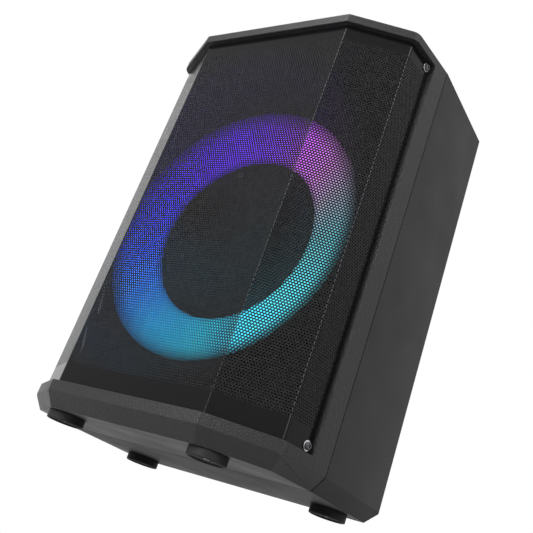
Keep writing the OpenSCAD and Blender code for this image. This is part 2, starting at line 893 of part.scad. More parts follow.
// ---- top controls ----
module tray_shape(grow, z0, z1) {
    translate([0, tray_y, z0])
        rounded_slot(tray_w + 2 * grow, tray_l + 2 * grow, tray_r + grow, z1 - z0);
}
module tray_cut() {
    tray_shape(fit_gap, top_z - wall - 1, top_z + 1);
}
function button_x(k) = (k - (len(button_names) - 1) / 2) * button_pitch;
module control_tray() {
    rim_w = 4;
    post_r = 4;
    color_dark() difference() {
        union() {
            tray_shape(0, tray_under_z, top_z);
            tray_shape(tray_lip, top_z - wall - tray_lip_t, top_z - wall);
            at_tray_posts()
                translate([0, 0, control_board_z + board_t])
                cylinder(r = post_r, h = tray_under_z - control_board_z - board_t + 1);
        }
        tray_shape(-rim_w, top_z - tray_drop, top_z + 1);
        translate([0, tray_y, 0])
            linear_extrude(tray_under_z)
            square([tray_w - 8, tray_l - 30], center = true);
        for (k = [0:len(button_names) - 1])
            translate([button_x(k), tray_y, control_board_z])
                cylinder(r = button_r + button_gap, h = 60);
        at_tray_posts()
            translate([0, 0, control_board_z - 1])
            cylinder(r = screw_r + screw_gap, h = 10);
    }
}
module at_tray_posts() {
    for (sx = [-1, 1], sy = [-1, 1])
        translate([sx * (tray_w / 2 - 7), tray_y + sy * (tray_l / 2 - 7), 0])
            children();
}

module control_board() {
    color_board() difference() {
        translate([-tray_w / 2 + 2, tray_y - tray_l / 2 + 2, control_board_z])
            cube([tray_w - 4, tray_l - 4, board_t]);
        at_tray_posts()
            cylinder(r = screw_r + screw_gap, h = far);
    }
}

module tact_switches() {
    body_h = plunger_z - 0.6 - control_board_z - board_t;
    color([0.3, 0.3, 0.3])
        for (k = [0:len(button_names) - 1])
            translate([button_x(k), tray_y, control_board_z + board_t]) {
                translate([-3, -3, 0])
                    cube([6, 6, body_h]);
                cylinder(r = 1.6, h = body_h + 0.6);
            }
}

module button(k) {
    hollow = 0.5;
    hollow_r = button_r - 2.5;
    flange_z = tray_under_z - fit_gap - button_flange_t;
    color([0.18, 0.18, 0.19]) translate([button_x(k), tray_y, 0]) rotate_extrude()
        polygon([[0, stem_z], [2.2, stem_z], [2.2, flange_z], [button_r + 1.6, flange_z],
            [button_r + 1.6, flange_z + button_flange_t], [button_r, flange_z + button_flange_t],
            [button_r, button_top_z - 0.7], [button_r - 0.7, button_top_z],
            [hollow_r, button_top_z], [hollow_r - 0.8, button_top_z - hollow],
            [0, button_top_z - hollow]]);
}
module button_power() { button(0); }
module button_mode() { button(1); }
module button_back() { button(2); }
module button_play() { button(3); }
module button_next() { button(4); }
module button_light() { button(5); }

// ---- rear sockets ----
jack_l = 26;
jack_w = 14;
rocker_w = 13;
rocker_h = 19;
case_wall = 1.6;
rocker_gap = 0.4;
// Barrels of the sockets, and the gap round each in the panel
barrel_gap = 0.2;
bushing_r = 4;
mic_barrel_r = 5.5;
aux_barrel_r = 3;
dc_barrel_r = 4.5;
usb_w = 14;
usb_h = 7;
nut_r = 5.6;
knob_recess_r = nut_r + 0.7;
dish_r = 8;
rocker_pivot_in = dish_drop + 4;
module socket_panel_cut() {
    at_rear(0, dish_z) {
        translate([0, 0, -1])
            rounded_slot(dish_w + 2 * dish_rim + 2 * fit_gap, dish_h + 2 * dish_rim + 2 * fit_gap,
                12, rebate + 1);
        translate([0, 0, -1])
            rounded_slot(dish_w + 2 * dish_t + 2 * fit_gap, dish_h + 2 * dish_t + 2 * fit_gap,
                dish_r + dish_t, wall + 2);
    }
}
module at_panel_corners() {
    for (sx = [-1, 1], sy = [-1, 1])
        translate([sx * (dish_w + dish_rim + 2) / 2, sy * (dish_h / 2 - 12), 0])
            children();
}
module socket_panel() {
    color_dark() at_rear(0, dish_z) difference() {
        union() {
            rounded_slot(dish_w + 2 * dish_rim, dish_h + 2 * dish_rim, 12, rebate);
            rounded_slot(dish_w + 2 * dish_t, dish_h + 2 * dish_t, dish_r + dish_t, dish_in);
            at_board_posts()
                translate([0, 0, dish_in - 1])
                cylinder(r = 3.5, h = socket_board_in - dish_in + 1);
        }
        translate([0, 0, -1])
            rounded_slot(dish_w, dish_h, dish_r, dish_drop + 1);
        at_panel_corners() flat_hole(screw_r, panel_screw_r);
        at_board_posts()
            translate([0, 0, socket_board_in]) board_pilot();
        for (x = [mic_knob_x, guitar_knob_x])
            translate([x, knob_up, 0]) cylinder(r = bushing_r + barrel_gap, h = far);
        for (x = [mic_jack_x, guitar_jack_x])
            translate([x, socket_down, 0]) cylinder(r = mic_barrel_r + barrel_gap, h = far);
        translate([aux_x, socket_down, 0]) cylinder(r = aux_barrel_r + barrel_gap, h = far);
        translate([dc_x, socket_down, 0]) cylinder(r = dc_barrel_r + barrel_gap, h = far);
        translate([usb_x - usb_w / 2 - barrel_gap, socket_down - usb_h / 2 - barrel_gap, 0])
            cube([usb_w + 2 * barrel_gap, usb_h + 2 * barrel_gap, far]);
        translate([rocker_x - rocker_w / 2 - case_wall - fit_gap,
                -rocker_h / 2 - case_wall - fit_gap, 0])
            cube([rocker_w + 2 * (case_wall + fit_gap), rocker_h + 2 * (case_wall + fit_gap), far]);
    }
}
module at_board_posts() {
    for (x = [board_x0 + 5, board_x1 - 5], s = [-1, 1])
        translate([x, s * (dish_h / 2 - 6), 0])
            children();
}

board_x0 = guitar_knob_x - 17;
board_x1 = dish_w / 2 - 4;
module socket_board() {
    color_board() at_rear(0, dish_z) difference() {
        translate([board_x0, -dish_h / 2 + 1, socket_board_in])
            cube([board_x1 - board_x0, dish_h - 2, board_t]);
        for (x = [mic_knob_x, guitar_knob_x])
            translate([x, knob_up, 0]) cylinder(r = shaft_r + 1, h = 80);
        at_board_posts()
            translate([0, 0, socket_board_in]) board_pilot();
    }
}

module pot_bodies() {
    color_steel() for (x = [mic_knob_x, guitar_knob_x])
        at_rear(x, dish_z + knob_up) difference() {
            union() {
                translate([-pot_w / 2, -pot_w / 2, dish_in])
                    cube([pot_w, pot_w, socket_board_in - dish_in]);
                translate([0, 0, dish_drop - 2.6])
                    cylinder(r = bushing_r, h = pot_l);
                translate([0, 0, dish_drop - nut_t])
                    cylinder(r = nut_r, h = nut_t, $fn = 6);
            }
            cylinder(r = shaft_r + run_gap, h = 80);
        }
}

// A knurled knob with its shaft; the recess under it clears the nut
module rotary_knob(x) {
    ribs = 18;
    color([0.1, 0.1, 0.1]) at_rear(x, dish_z + knob_up) {
        difference() {
            union() {
                translate([0, 0, knob_in])
                    cylinder(r = knob_r - 0.6, h = knob_l);
                translate([0, 0, knob_in + knob_l - 2])
                    cylinder(r = knob_r, h = 2);
                for (k = [0:ribs - 1])
                    rotate([0, 0, k * 360 / ribs])
                    translate([knob_r - 1, -0.6, knob_in + 1])
                    cube([0.9, 1.2, knob_l - 2]);
            }
            translate([0, 0, knob_in + knob_l - 4])
                cylinder(r = knob_recess_r, h = 5);
            translate([-0.6, knob_r - 5.5, knob_in - 1])
                cube([1.2, 8, 1.6]);
        }
        translate([0, 0, knob_in + 2])
            cylinder(r = shaft_r, h = socket_board_in - knob_in - 2 - fit_gap);
    }
}
module mic_knob() { rotary_knob(mic_knob_x); }
module guitar_knob() { rotary_knob(guitar_knob_x); }

module mic_jacks() {
    color([0.12, 0.12, 0.12]) for (x = [mic_jack_x, guitar_jack_x])
        at_rear(x, dish_z + socket_down) difference() {
            union() {
                translate([-jack_w / 2, -jack_w / 2, dish_in])
                    cube([jack_w, jack_w, jack_l]);
                translate([0, 0, dish_drop - 3])
                    cylinder(r = mic_barrel_r, h = dish_t + 4);
                translate([0, 0, dish_drop - 3])
                    cylinder(r = 8, h = 3, $fn = 6);
            }
            translate([0, 0, -1])
                cylinder(r = mic_bore_r, h = dish_in + jack_l);
        }
}

module aux_jack() {
    color([0.14, 0.14, 0.14]) at_rear(aux_x, dish_z + socket_down) difference() {
        union() {
            translate([-5, -5, dish_in])
                cube([10, 10, socket_board_in - dish_in]);
            translate([0, 0, dish_drop - 0.5])
                cylinder(r = aux_barrel_r, h = dish_t + 2);
        }
        translate([0, 0, -1])
            cylinder(r = aux_bore_r, h = socket_board_in - 1);
    }
}

module usb_socket() {
    usb_wall = 0.7;
    color_steel() at_rear(usb_x, dish_z + socket_down) {
        difference() {
            translate([-usb_w / 2, -usb_h / 2, dish_drop - 0.5])
                cube([usb_w, usb_h, socket_board_in - dish_drop + 0.5]);
            translate([-usb_w / 2 + usb_wall, -usb_h / 2 + usb_wall, dish_drop - 2])
                cube([usb_w - 2 * usb_wall, usb_h - 2 * usb_wall, socket_board_in - dish_drop]);
        }
        translate([-usb_w / 2 + 1.5, 0.4, dish_drop + 1.5])
            cube([usb_w - 3, 1.8, socket_board_in - dish_drop - 2]);
    }
}

module dc_jack() {
    color([0.1, 0.1, 0.1]) at_rear(dc_x, dish_z + socket_down) {
        difference() {
            union() {
                translate([-6, -6, dish_in])
                    cube([12, 12, socket_board_in - dish_in]);
                translate([0, 0, dish_drop - 0.8])
                    cylinder(r = dc_barrel_r, h = dish_t + 2);
            }
            translate([0, 0, -1])
                cylinder(r = 2.85, h = socket_board_in);
        }
        translate([0, 0, dish_drop + 1])
            cylinder(r = 1, h = socket_board_in - dish_drop - 1.5);
    }
}

case_l = 18;
pin_r = 1.3;
module switch_case() {
    color_dark() at_rear(rocker_x, dish_z) difference() {
        union() {
            translate([-rocker_w / 2 - case_wall, -rocker_h / 2 - case_wall, dish_drop - 1.5])
                cube([rocker_w + 2 * case_wall, rocker_h + 2 * case_wall, case_l]);
            translate([-rocker_w / 2 - case_wall - 1.5, -rocker_h / 2 - case_wall - 1.5,
                    dish_drop - 1.5])
                cube([rocker_w + 2 * case_wall + 3, rocker_h + 2 * case_wall + 3, 1.5]);
        }
        translate([-rocker_w / 2, -rocker_h / 2, 0])
            cube([rocker_w, rocker_h, dish_drop + case_l - 4]);
        translate([-far / 2, 0, rocker_pivot_in])
            rotate([0, 90, 0])
            cylinder(r = pin_r + run_gap, h = far);
    }
}

// The rocker's side view: a shallow V on top, round underneath
module switch_rocker() {
    half = rocker_h / 2 - rocker_gap - 0.9;
    rise = 5.2;
    color([0.05, 0.05, 0.05]) at_rear(rocker_x, dish_z)
        translate([0, 0, rocker_pivot_in])
        rotate([rocker_tilt, 0, 0]) {
            translate([-rocker_w / 2 + rocker_gap, 0, 0])
                rotate([90, 0, 90])
                linear_extrude(rocker_w - 2 * rocker_gap)
                polygon([[-half, -rise - 0.9], [-half, -1], [-3, 4], [3, 4], [half, -1],
                    [half, -rise - 0.9], [0, -rise]]);
            translate([-rocker_w / 2 - case_wall + fit_gap, 0, 0])
                rotate([0, 90, 0])
                cylinder(r = pin_r, h = rocker_w + 2 * (case_wall - fit_gap));
        }
}

// ---- countersunk screws of the socket panel and the hand cup, all the same ----
panel_screw_l = 9;
panel_screw_r = 3.4;
module at_panel_screws() {
    at_rear(0, dish_z) at_panel_corners() children();
    at_rear(0, grip_z) at_cup_screws() children();
}
module panel_screw_holes() {
    at_panel_screws() flat_hole(screw_r, panel_screw_r);
}
module panel_screws() {
    color([0.1, 0.1, 0.1]) at_panel_screws() flat_screw(screw_r, panel_screw_l, panel_screw_r);
}

// ---- pan-head screws of the boards and the battery bracket, all the same ----
board_screw_l = 8;
board_screw_head_r = 3.2;
module board_screw() {
    pan_screw(screw_r, board_screw_l, board_screw_head_r, 2);
}
module board_pilot() {
    cylinder(r = screw_r + screw_gap, h = 2 * board_screw_l + 2, center = true);
}
module board_screws() {
    color_steel() {
        at_tray_posts() translate([0, 0, control_board_z]) board_screw();
        at_rear(0, dish_z) at_board_posts()
            translate([0, 0, socket_board_in + board_t]) rotate([180, 0, 0]) board_screw();
        at_rear(0, amp_z0 + amp_h / 2) at_amp_posts()
            translate([0, 0, amp_in + board_t]) rotate([180, 0, 0]) board_screw();
        at_bracket_ears() translate([0, 0, bracket_lift + strap_t])
            rotate([180, 0, 0]) board_screw();
    }
}

// ---- inside the cabinet ----
amp_z0 = dish_z + dish_h / 2 + 36;
amp_h = 84;
amp_w = 130;
amp_in = wall + 7;
module amp_board() {
    color_board() at_rear(0, amp_z0 + amp_h / 2) {
        difference() {
            translate([-amp_w / 2, -amp_h / 2, amp_in])
                cube([amp_w, amp_h, board_t]);
            at_amp_posts() translate([0, 0, amp_in]) board_pilot();
        }
    }
}
module at_amp_posts() {
    for (sx = [-1, 1], sy = [-1, 1])
        translate([sx * (amp_w / 2 - 6), sy * (amp_h / 2 - 6), 0])
            children();
}

module heat_sink() {
    fins = 9;
    fin_t = 1.5;
    fin_h = 18;
    sink_w = 70;
    sink_h = 46;
    color_steel() at_rear(-20, amp_z0 + amp_h / 2) {
        translate([-sink_w / 2, -sink_h / 2, amp_in + board_t])
            cube([sink_w, sink_h, 4]);
        for (k = [0:fins - 1])
            translate([-sink_w / 2 + k * (sink_w - fin_t) / (fins - 1), -sink_h / 2,
                    amp_in + board_t + 3])
                cube([fin_t, sink_h, fin_h]);
    }
}

module amp_capacitors() {
    color([0.1, 0.12, 0.35]) for (k = [0:2])
        at_rear(38, amp_z0 + 18 + k * 24)
            translate([0, 0, amp_in + board_t])
            cylinder(r = 8, h = 24);
}

battery_d = 112;
module battery_pack() {
    edge = 3;
    color([0.12, 0.25, 0.5])
        translate([0, front_y + battery_d, base_z + wall + battery_h / 2])
        rotate([-90, 0, 0])
        rounded_slot(battery_w, battery_h, edge, battery_l);
}

strap_t = 1.5;
strap_w = 18;
strap_gap = 0.2;
strap_ear = 14;
bracket_lift = 5;
bracket_w = battery_w + 2 * (strap_gap + strap_t);
// The bracket's two fixing ears, on the cabinet's floor
module at_bracket_ears() {
    for (s = [-1, 1])
        translate([s * (bracket_w + strap_ear) / 2, front_y + battery_d + battery_l / 2,
                base_z + wall])
            children();
}
module battery_bracket() {
    color_steel() difference() {
        translate([0, front_y + battery_d + (battery_l - strap_w) / 2, base_z + wall])
            difference() {
                union() {
                    translate([-bracket_w / 2, 0, bracket_lift])
                        cube([bracket_w, strap_w, battery_h + strap_gap + strap_t - bracket_lift]);
                    translate([-bracket_w / 2 - strap_ear, 0, bracket_lift])
                        cube([bracket_w + 2 * strap_ear, strap_w, strap_t]);
                }
                translate([-battery_w / 2 - strap_gap, -1, -1])
                    cube([battery_w + 2 * strap_gap, strap_w + 2, battery_h + strap_gap + 1]);
            }
        at_bracket_ears() translate([0, 0, bracket_lift]) board_pilot();
    }
}

// The lead from the amplifier board to the driver's basket
lead_r = 2;
lead_rings = 14;
lead_sides = 8;
lead_end = [tag_r * cos(tag_angle), front_y + spider_d + tag_l + 0.05,
    driver_z - tag_r * sin(tag_angle)];
lead_path = [[amp_w / 2 - 13, rear_y - amp_in - board_t - 0.2, amp_z0 + amp_h - 19],
    [amp_w / 2 - 13, rear_y - 30, amp_z0 + amp_h - 17], [amp_w / 2 - 11, rear_y - 60, 262],
    [amp_w / 2 - 8, rear_y - 85, lead_end.z - 2.6], lead_end + [0, 6, -0.1], lead_end];
function path_at(t) = let (n = len(lead_path) - 1, i = min(floor(t * n), n - 1), f = t * n - i)
    lead_path[i] * (1 - f) + lead_path[i + 1] * f;
module speaker_lead() {
    rings = [for (k = [0:lead_rings]) let (
            t = k / lead_rings,
            p = path_at(t),
            dir = unit(path_at(min(t + 0.04, 1)) - path_at(max(t - 0.04, 0))),
            u = unit(cross(dir, [0, 0, 1])),
            v = cross(dir, u))
        [for (j = [0:lead_sides - 1]) let (a = j * 360 / lead_sides)
            p + lead_r * (u * cos(a) + v * sin(a))]];
    n = lead_sides;
    m = lead_rings;
    color([0.6, 0.1, 0.08]) polyhedron(
        points = [for (r = rings) each r],
        faces = concat(
            [[for (j = [0:n - 1]) j]],
            [[for (j = [n - 1:-1:0]) m * n + j]],
            [for (k = [0:m - 1]) for (j = [0:n - 1])
                [k * n + j, (k + 1) * n + j, (k + 1) * n + (j + 1) % n, k * n + (j + 1) % n]]));
}

front_frame();
cabinet_shell();
grille();
grille_washers();
grille_screws();
baffle();
baffle_gasket();
baffle_screws();
foot_front_left();
foot_front_right();
foot_rear_left();
foot_rear_right();
foot_screws();
handle_cup();
port_tube();
light_housing();
led_board();
led_lamps();
light_lens();
housing_screws();
driver_gasket();
driver_trim_ring();
driver_basket();
driver_screws();
cone();
surround();
dust_cap();
voice_coil();
spider();
top_plate();
magnet();
back_plate();
control_tray();
control_board();
tact_switches();
button_power();
button_mode();
button_back();
button_play();
button_next();
button_light();
socket_panel();
panel_screws();
socket_board();
pot_bodies();
mic_knob();
guitar_knob();
mic_jacks();
aux_jack();
usb_socket();
dc_jack();
switch_case();
switch_rocker();
amp_board();
heat_sink();
amp_capacitors();
battery_pack();
battery_bracket();
board_screws();
speaker_lead();
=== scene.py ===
"""A floor-standing party speaker: finishes, fine shapes and studio round its frame."""

from __future__ import annotations

import json
import logging
import math
from dataclasses import dataclass, field
from enum import Enum

import bmesh
import bpy
from mathutils import Matrix, Vector


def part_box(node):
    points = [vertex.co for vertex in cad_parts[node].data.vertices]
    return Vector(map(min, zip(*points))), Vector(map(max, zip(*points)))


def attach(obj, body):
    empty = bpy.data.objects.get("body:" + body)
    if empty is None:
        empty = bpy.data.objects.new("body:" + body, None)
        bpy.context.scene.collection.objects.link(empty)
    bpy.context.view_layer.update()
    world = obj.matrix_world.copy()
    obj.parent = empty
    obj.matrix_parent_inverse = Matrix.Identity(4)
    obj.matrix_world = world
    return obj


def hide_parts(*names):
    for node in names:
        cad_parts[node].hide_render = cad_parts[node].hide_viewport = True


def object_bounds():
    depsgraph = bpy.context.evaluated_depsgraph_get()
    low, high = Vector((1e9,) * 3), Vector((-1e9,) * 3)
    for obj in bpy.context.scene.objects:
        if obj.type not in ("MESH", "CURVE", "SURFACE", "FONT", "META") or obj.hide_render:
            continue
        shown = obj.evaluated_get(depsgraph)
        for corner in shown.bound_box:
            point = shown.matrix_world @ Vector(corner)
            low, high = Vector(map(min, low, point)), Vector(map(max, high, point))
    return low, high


LOG = logging.getLogger("party_speaker")
# Vertex layer that marks the front hole rims, where the sheet's painted highlight goes
HOLE_LAYER = "punched"
MM = 0.001
MERGE = 0.002 * MM
FLAT_TURN = 0.6
SHEET_MERGE = 0.01 * MM
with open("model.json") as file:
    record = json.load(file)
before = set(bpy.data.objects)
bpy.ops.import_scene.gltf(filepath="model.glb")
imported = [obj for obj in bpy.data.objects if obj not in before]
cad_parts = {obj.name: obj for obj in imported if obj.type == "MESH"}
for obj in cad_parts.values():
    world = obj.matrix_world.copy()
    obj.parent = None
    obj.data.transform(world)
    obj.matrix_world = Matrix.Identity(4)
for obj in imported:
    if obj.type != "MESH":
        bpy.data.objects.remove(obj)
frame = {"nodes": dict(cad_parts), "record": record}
CAD_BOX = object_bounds()


class Body(Enum):
    """The rigid bodies that pieces ride on."""

    CABINET = "cabinet"
    MIC_KNOB = "mic_knob"
    GUITAR_KNOB = "guitar_knob"
    ROCKER = "power_rocker"


class Grain(Enum):
    """Surface textures that a mould or a coat leaves."""

    LEATHER = "leather"
    FINE = "fine"
    SATIN = "satin"


# ---- finishes


class Shader:
    """One node material under construction, with short calls for its usual nodes."""

    def __init__(self, name: str) -> None:
        """Starts a material that holds only an output and a Principled shader.

        Args:
            name: The material's name.
        """
        self.material = bpy.data.materials.new(name)
        self.material.use_nodes = True
        self.tree = self.material.node_tree
        self.tree.nodes.clear()
        self.output = self.tree.nodes.new("ShaderNodeOutputMaterial")
        self.principled = self.tree.nodes.new("ShaderNodeBsdfPrincipled")
        self.join(self.principled.outputs["BSDF"], self.output.inputs["Surface"])

    def node(self, kind: str, **inputs: object) -> bpy.types.Node:
        """Adds a node and sets its inputs by name.

        Args:
            kind: The node's type, without the ShaderNode prefix.
            **inputs: Socket names, with underscores for spaces, and their values.

        Returns:
            The new node.
        """
        made = self.tree.nodes.new("ShaderNode" + kind)
        for key, value in inputs.items():
            made.inputs[key.replace("_", " ")].default_value = value
        return made

    def join(self, source: bpy.types.NodeSocket, target: bpy.types.NodeSocket) -> None:
        """Links two sockets."""
        self.tree.links.new(source, target)

    def set(self, **values: object) -> None:
        """Sets the Principled shader's own sockets, with underscores for spaces."""
        for key, value in values.items():
            self.principled.inputs[key.replace("_", " ")].default_value = value

    def place(self, centre: Vector | None = None, stretch: tuple[float, float, float] = (1, 1, 1),
              turn: tuple[float, float, float] = (0, 0, 0)) -> bpy.types.NodeSocket:
        """Object coordinates, centred, turned and stretched.

        Args:
            centre: The point that becomes the origin, or None for the object's own.
            stretch: The scale along each axis.
            turn: The rotation in radians.

        Returns:
            The socket with the coordinates.
        """
        coordinates = self.node("TexCoord").outputs["Object"]
        if centre is not None:
            shift = self.node("Mapping")
            shift.inputs["Location"].default_value = (-centre.x, -centre.y, -centre.z)
            self.join(coordinates, shift.inputs["Vector"])
            coordinates = shift.outputs["Vector"]
        mapping = self.node("Mapping")
        mapping.inputs["Rotation"].default_value = turn
        mapping.inputs["Scale"].default_value = stretch
        self.join(coordinates, mapping.inputs["Vector"])
        return mapping.outputs["Vector"]

    def noise(self, where: bpy.types.NodeSocket, size: float, detail: float = 3.0,
              roughness: float = 0.55) -> bpy.types.NodeSocket:
        """A noise pattern whose blotches are about size metres across.

        Args:
            where: The coordinates.
            size: The blotches' size in metres.
            detail: The number of finer layers.
            roughness: How much the finer layers show.

        Returns:
            The socket with the pattern, from 0 to 1.
        """
        made = self.node("TexNoise", Scale=1.0 / size, Detail=detail, Roughness=roughness)
        self.join(where, made.inputs["Vector"])
        return made.outputs["Fac"]

    def cells(self, where: bpy.types.NodeSocket, size: float,
              soft: float = 1.0) -> bpy.types.NodeSocket:
        """A pattern of rounded cells about size metres across.

        Args:
            where: The coordinates.
            size: The cells' size in metres.
            soft: How rounded the cells are.

        Returns:
            The socket with the pattern.
        """
        made = self.tree.nodes.new("ShaderNodeTexVoronoi")
        made.feature = "SMOOTH_F1"
        made.inputs["Scale"].default_value = 1.0 / size
        made.inputs["Smoothness"].default_value = soft
        self.join(where, made.inputs["Vector"])
        return made.outputs["Distance"]

    def ramp(self, value: bpy.types.NodeSocket, stops: list[tuple[float, tuple[float, ...]]],
             eased: bool = False) -> bpy.types.NodeSocket:
        """Turns a value into a colour along a row of stops.

        Args:
            value: The value, from 0 to 1.
            stops: Positions and their colours.
            eased: Whether the colours blend with eased steps.

        Returns:
            The socket with the colour.
        """
        made = self.tree.nodes.new("ShaderNodeValToRGB")
        made.color_ramp.interpolation = "EASE" if eased else "LINEAR"
        elements = made.color_ramp.elements
        for position, colour in stops[1:-1]:
            elements.new(position).color = (*colour[:3], 1.0)
        for element, (position, colour) in ((elements[0], stops[0]), (elements[-1], stops[-1])):
            element.position = position
            element.color = (*colour[:3], 1.0)
        self.join(value, made.inputs["Fac"])
        return made.outputs["Color"]

    def span(self, value: bpy.types.NodeSocket, low: float, high: float,
             start: float = 0.0, end: float = 1.0) -> bpy.types.NodeSocket:
        """Maps a value from one range to another, clamped.

        Args:
            value: The value.
            low: What start becomes.
            high: What end becomes.
            start: The low end of the value's range.
            end: The high end of the value's range.

        Returns:
            The socket with the mapped value.
        """
        made = self.node("MapRange")
        for name, number in (("From Min", start), ("From Max", end),
                             ("To Min", low), ("To Max", high)):
            made.inputs[name].default_value = number
        self.join(value, made.inputs["Value"])
        return made.outputs["Result"]

    def maths(self, operation: str, first: bpy.types.NodeSocket,
              second: bpy.types.NodeSocket | float = 0.0) -> bpy.types.NodeSocket:
        """One arithmetic step on a value.

        Args:
            operation: The Math node's operation.
            first: The first value.
            second: The second value, a socket or a number.

        Returns:
            The socket with the result.
        """
        made = self.tree.nodes.new("ShaderNodeMath")
        made.operation = operation
        self.join(first, made.inputs[0])
        if isinstance(second, bpy.types.NodeSocket):
            self.join(second, made.inputs[1])
        else:
            made.inputs[1].default_value = second
        return made.outputs["Value"]

    def tint(self, value: bpy.types.NodeSocket, dark: tuple[float, ...],
             light: tuple[float, ...]) -> None:
        """Drives the base colour between two colours."""
        self.join(self.ramp(value, [(0.3, dark), (0.7, light)]),
                  self.principled.inputs["Base Color"])

    def gloss(self, value: bpy.types.NodeSocket, low: float, high: float) -> None:
        """Drives the roughness between two numbers."""
        self.join(self.span(value, low, high, 0.3, 0.7), self.principled.inputs["Roughness"])

    def bump(self, value: bpy.types.NodeSocket, depth: float, strength: float = 1.0,
             under: bpy.types.NodeSocket | None = None) -> bpy.types.NodeSocket:
        """Raises the surface by a pattern.

        Args:
            value: The height pattern.
            depth: The pattern's height in metres.
            strength: How much of it shows.
            under: The normal of a bump beneath this one, or None.

        Returns:
            The socket with the new normal, already on the Principled shader.
        """
        made = self.node("Bump", Strength=strength, Distance=depth)
        self.join(value, made.inputs["Height"])
        if under is not None:
            self.join(under, made.inputs["Normal"])
        self.join(made.outputs["Normal"], self.principled.inputs["Normal"])
        return made.outputs["Normal"]


def shade(colour: tuple[float, float, float], factor: float) -> tuple[float, float, float]:
    """A colour made lighter or darker by a factor."""
    return tuple(min(1.0, channel * factor) for channel in colour)


@dataclass(frozen=True)
class Plastic:
    """A moulded plastic with its grain, faint flow marks and handling wear."""

    slot: str
    colour: tuple[float, float, float]
    roughness: float = 0.45
    grain: Grain = Grain.FINE
    grain_size: float = 0.6 * MM
    grain_depth: float = 0.03 * MM
    coat: float = 0.0
    shine: float = 0.5

    def material(self) -> bpy.types.Material:
        """The node material of this plastic."""
        shader = Shader(self.slot)
        where = shader.place()
        flow = shader.noise(where, 60 * MM, 2.0)
        speck = shader.noise(where, self.grain_size * 2, 2.0)
        shader.tint(speck, shade(self.colour, 0.78), shade(self.colour, 1.25))
        shader.gloss(flow, self.roughness * 0.92, min(1.0, self.roughness * 1.1))
        shader.set(Coat_Weight=self.coat, Coat_Roughness=0.12, Specular_IOR_Level=self.shine)
        low = shader.bump(shader.noise(where, 25 * MM, 1.0), 0.02 * MM, 0.3)
        if self.grain is Grain.LEATHER:
            low = shader.bump(shader.cells(where, self.grain_size * 2.2), self.grain_depth,
                              1.0, low)
        shader.bump(shader.noise(where, self.grain_size, 3.0, 0.7), self.grain_depth,
                    0.35 if self.grain is Grain.SATIN else 0.8, low)
        return shader.material


@dataclass(frozen=True)
class Coated:
    """Steel under a powder coat with its fine orange peel."""

    slot: str
    colour: tuple[float, float, float]
    roughness: float = 0.42
    peel: float = 0.5 * MM
    shine: float = 0.5

    def material(self) -> bpy.types.Material:
        """The node material of this coat."""
        shader = Shader(self.slot)
        where = shader.place()
        blotch = shader.noise(where, 30 * MM, 3.0)
        shader.tint(shader.noise(where, 3 * MM), shade(self.colour, 0.8), shade(self.colour, 1.3))
        shader.gloss(blotch, self.roughness * 0.9, self.roughness * 1.15)
        shader.set(Specular_IOR_Level=self.shine)
        shader.bump(shader.noise(where, self.peel, 2.0), 0.02 * MM, 0.6)
        return shader.material


@dataclass(frozen=True)
class Perforated:
    """A coated sheet with punched holes whose thinly coated rims carry a painted highlight, a paler
    colour.
    """

    slot: str
    colour: tuple[float, float, float]
    painted_rim_highlight: tuple[float, float, float]
    roughness: float = 0.15
    shine: float = 0.12

    def material(self) -> bpy.types.Material:
        """The node material of this sheet."""
        shader = Shader(self.slot)
        where = shader.place()
        punched = shader.tree.nodes.new("ShaderNodeAttribute")
        punched.attribute_name = HOLE_LAYER
        # Painted highlight: the base colour grows paler towards the front hole rims, standing in
        # for glints on their edges
        rim = shader.maths("ADD", punched.outputs["Fac"],
                           shader.span(shader.noise(where, 4 * MM), -0.08, 0.08, 0.3, 0.7))
        shader.join(shader.ramp(rim, [(0.0, self.colour), (0.7, self.colour), (0.95, self.painted_rim_highlight)]),
                    shader.principled.inputs["Base Color"])
        shader.gloss(shader.noise(where, 30 * MM, 3.0), self.roughness * 0.9, self.roughness * 1.2)
        shader.set(Specular_IOR_Level=self.shine)
        shader.bump(shader.noise(where, 0.7 * MM, 2.0), 0.02 * MM, 0.4)
        return shader.material


@dataclass(frozen=True)
class Metal:
    """A bare or plated metal with fine lines along one axis."""

    slot: str
    colour: tuple[float, float, float]
    roughness: float = 0.3
    lines: tuple[float, float, float] = (1.0, 1.0, 1.0)

    def material(self) -> bpy.types.Material:
        """The node material of this metal."""
        shader = Shader(self.slot)
        where = shader.place(stretch=self.lines)
        streak = shader.noise(where, 0.8 * MM, 4.0, 0.7)
        shader.tint(shader.noise(shader.place(), 9 * MM),
                    shade(self.colour, 0.88), shade(self.colour, 1.06))
        shader.gloss(streak, self.roughness * 0.75, self.roughness * 1.3)
        shader.set(Metallic=1.0)
        shader.bump(streak, 0.01 * MM, 0.4)
        return shader.material


@dataclass(frozen=True)
class Rubber:
    """A soft dark rubber with a dusty bloom."""

    slot: str
    colour: tuple[float, float, float]
    roughness: float = 0.62
    shine: float = 0.2

    def material(self) -> bpy.types.Material:
        """The node material of this rubber."""
        shader = Shader(self.slot)
        where = shader.place()
        bloom = shader.noise(where, 12 * MM, 4.0)
        shader.tint(bloom, shade(self.colour, 0.8), shade(self.colour, 1.5))
        shader.gloss(bloom, self.roughness * 0.85, min(1.0, self.roughness * 1.15))
        shader.set(Specular_IOR_Level=self.shine)
        shader.bump(shader.noise(where, 0.5 * MM, 2.0), 0.02 * MM, 0.7)
        return shader.material


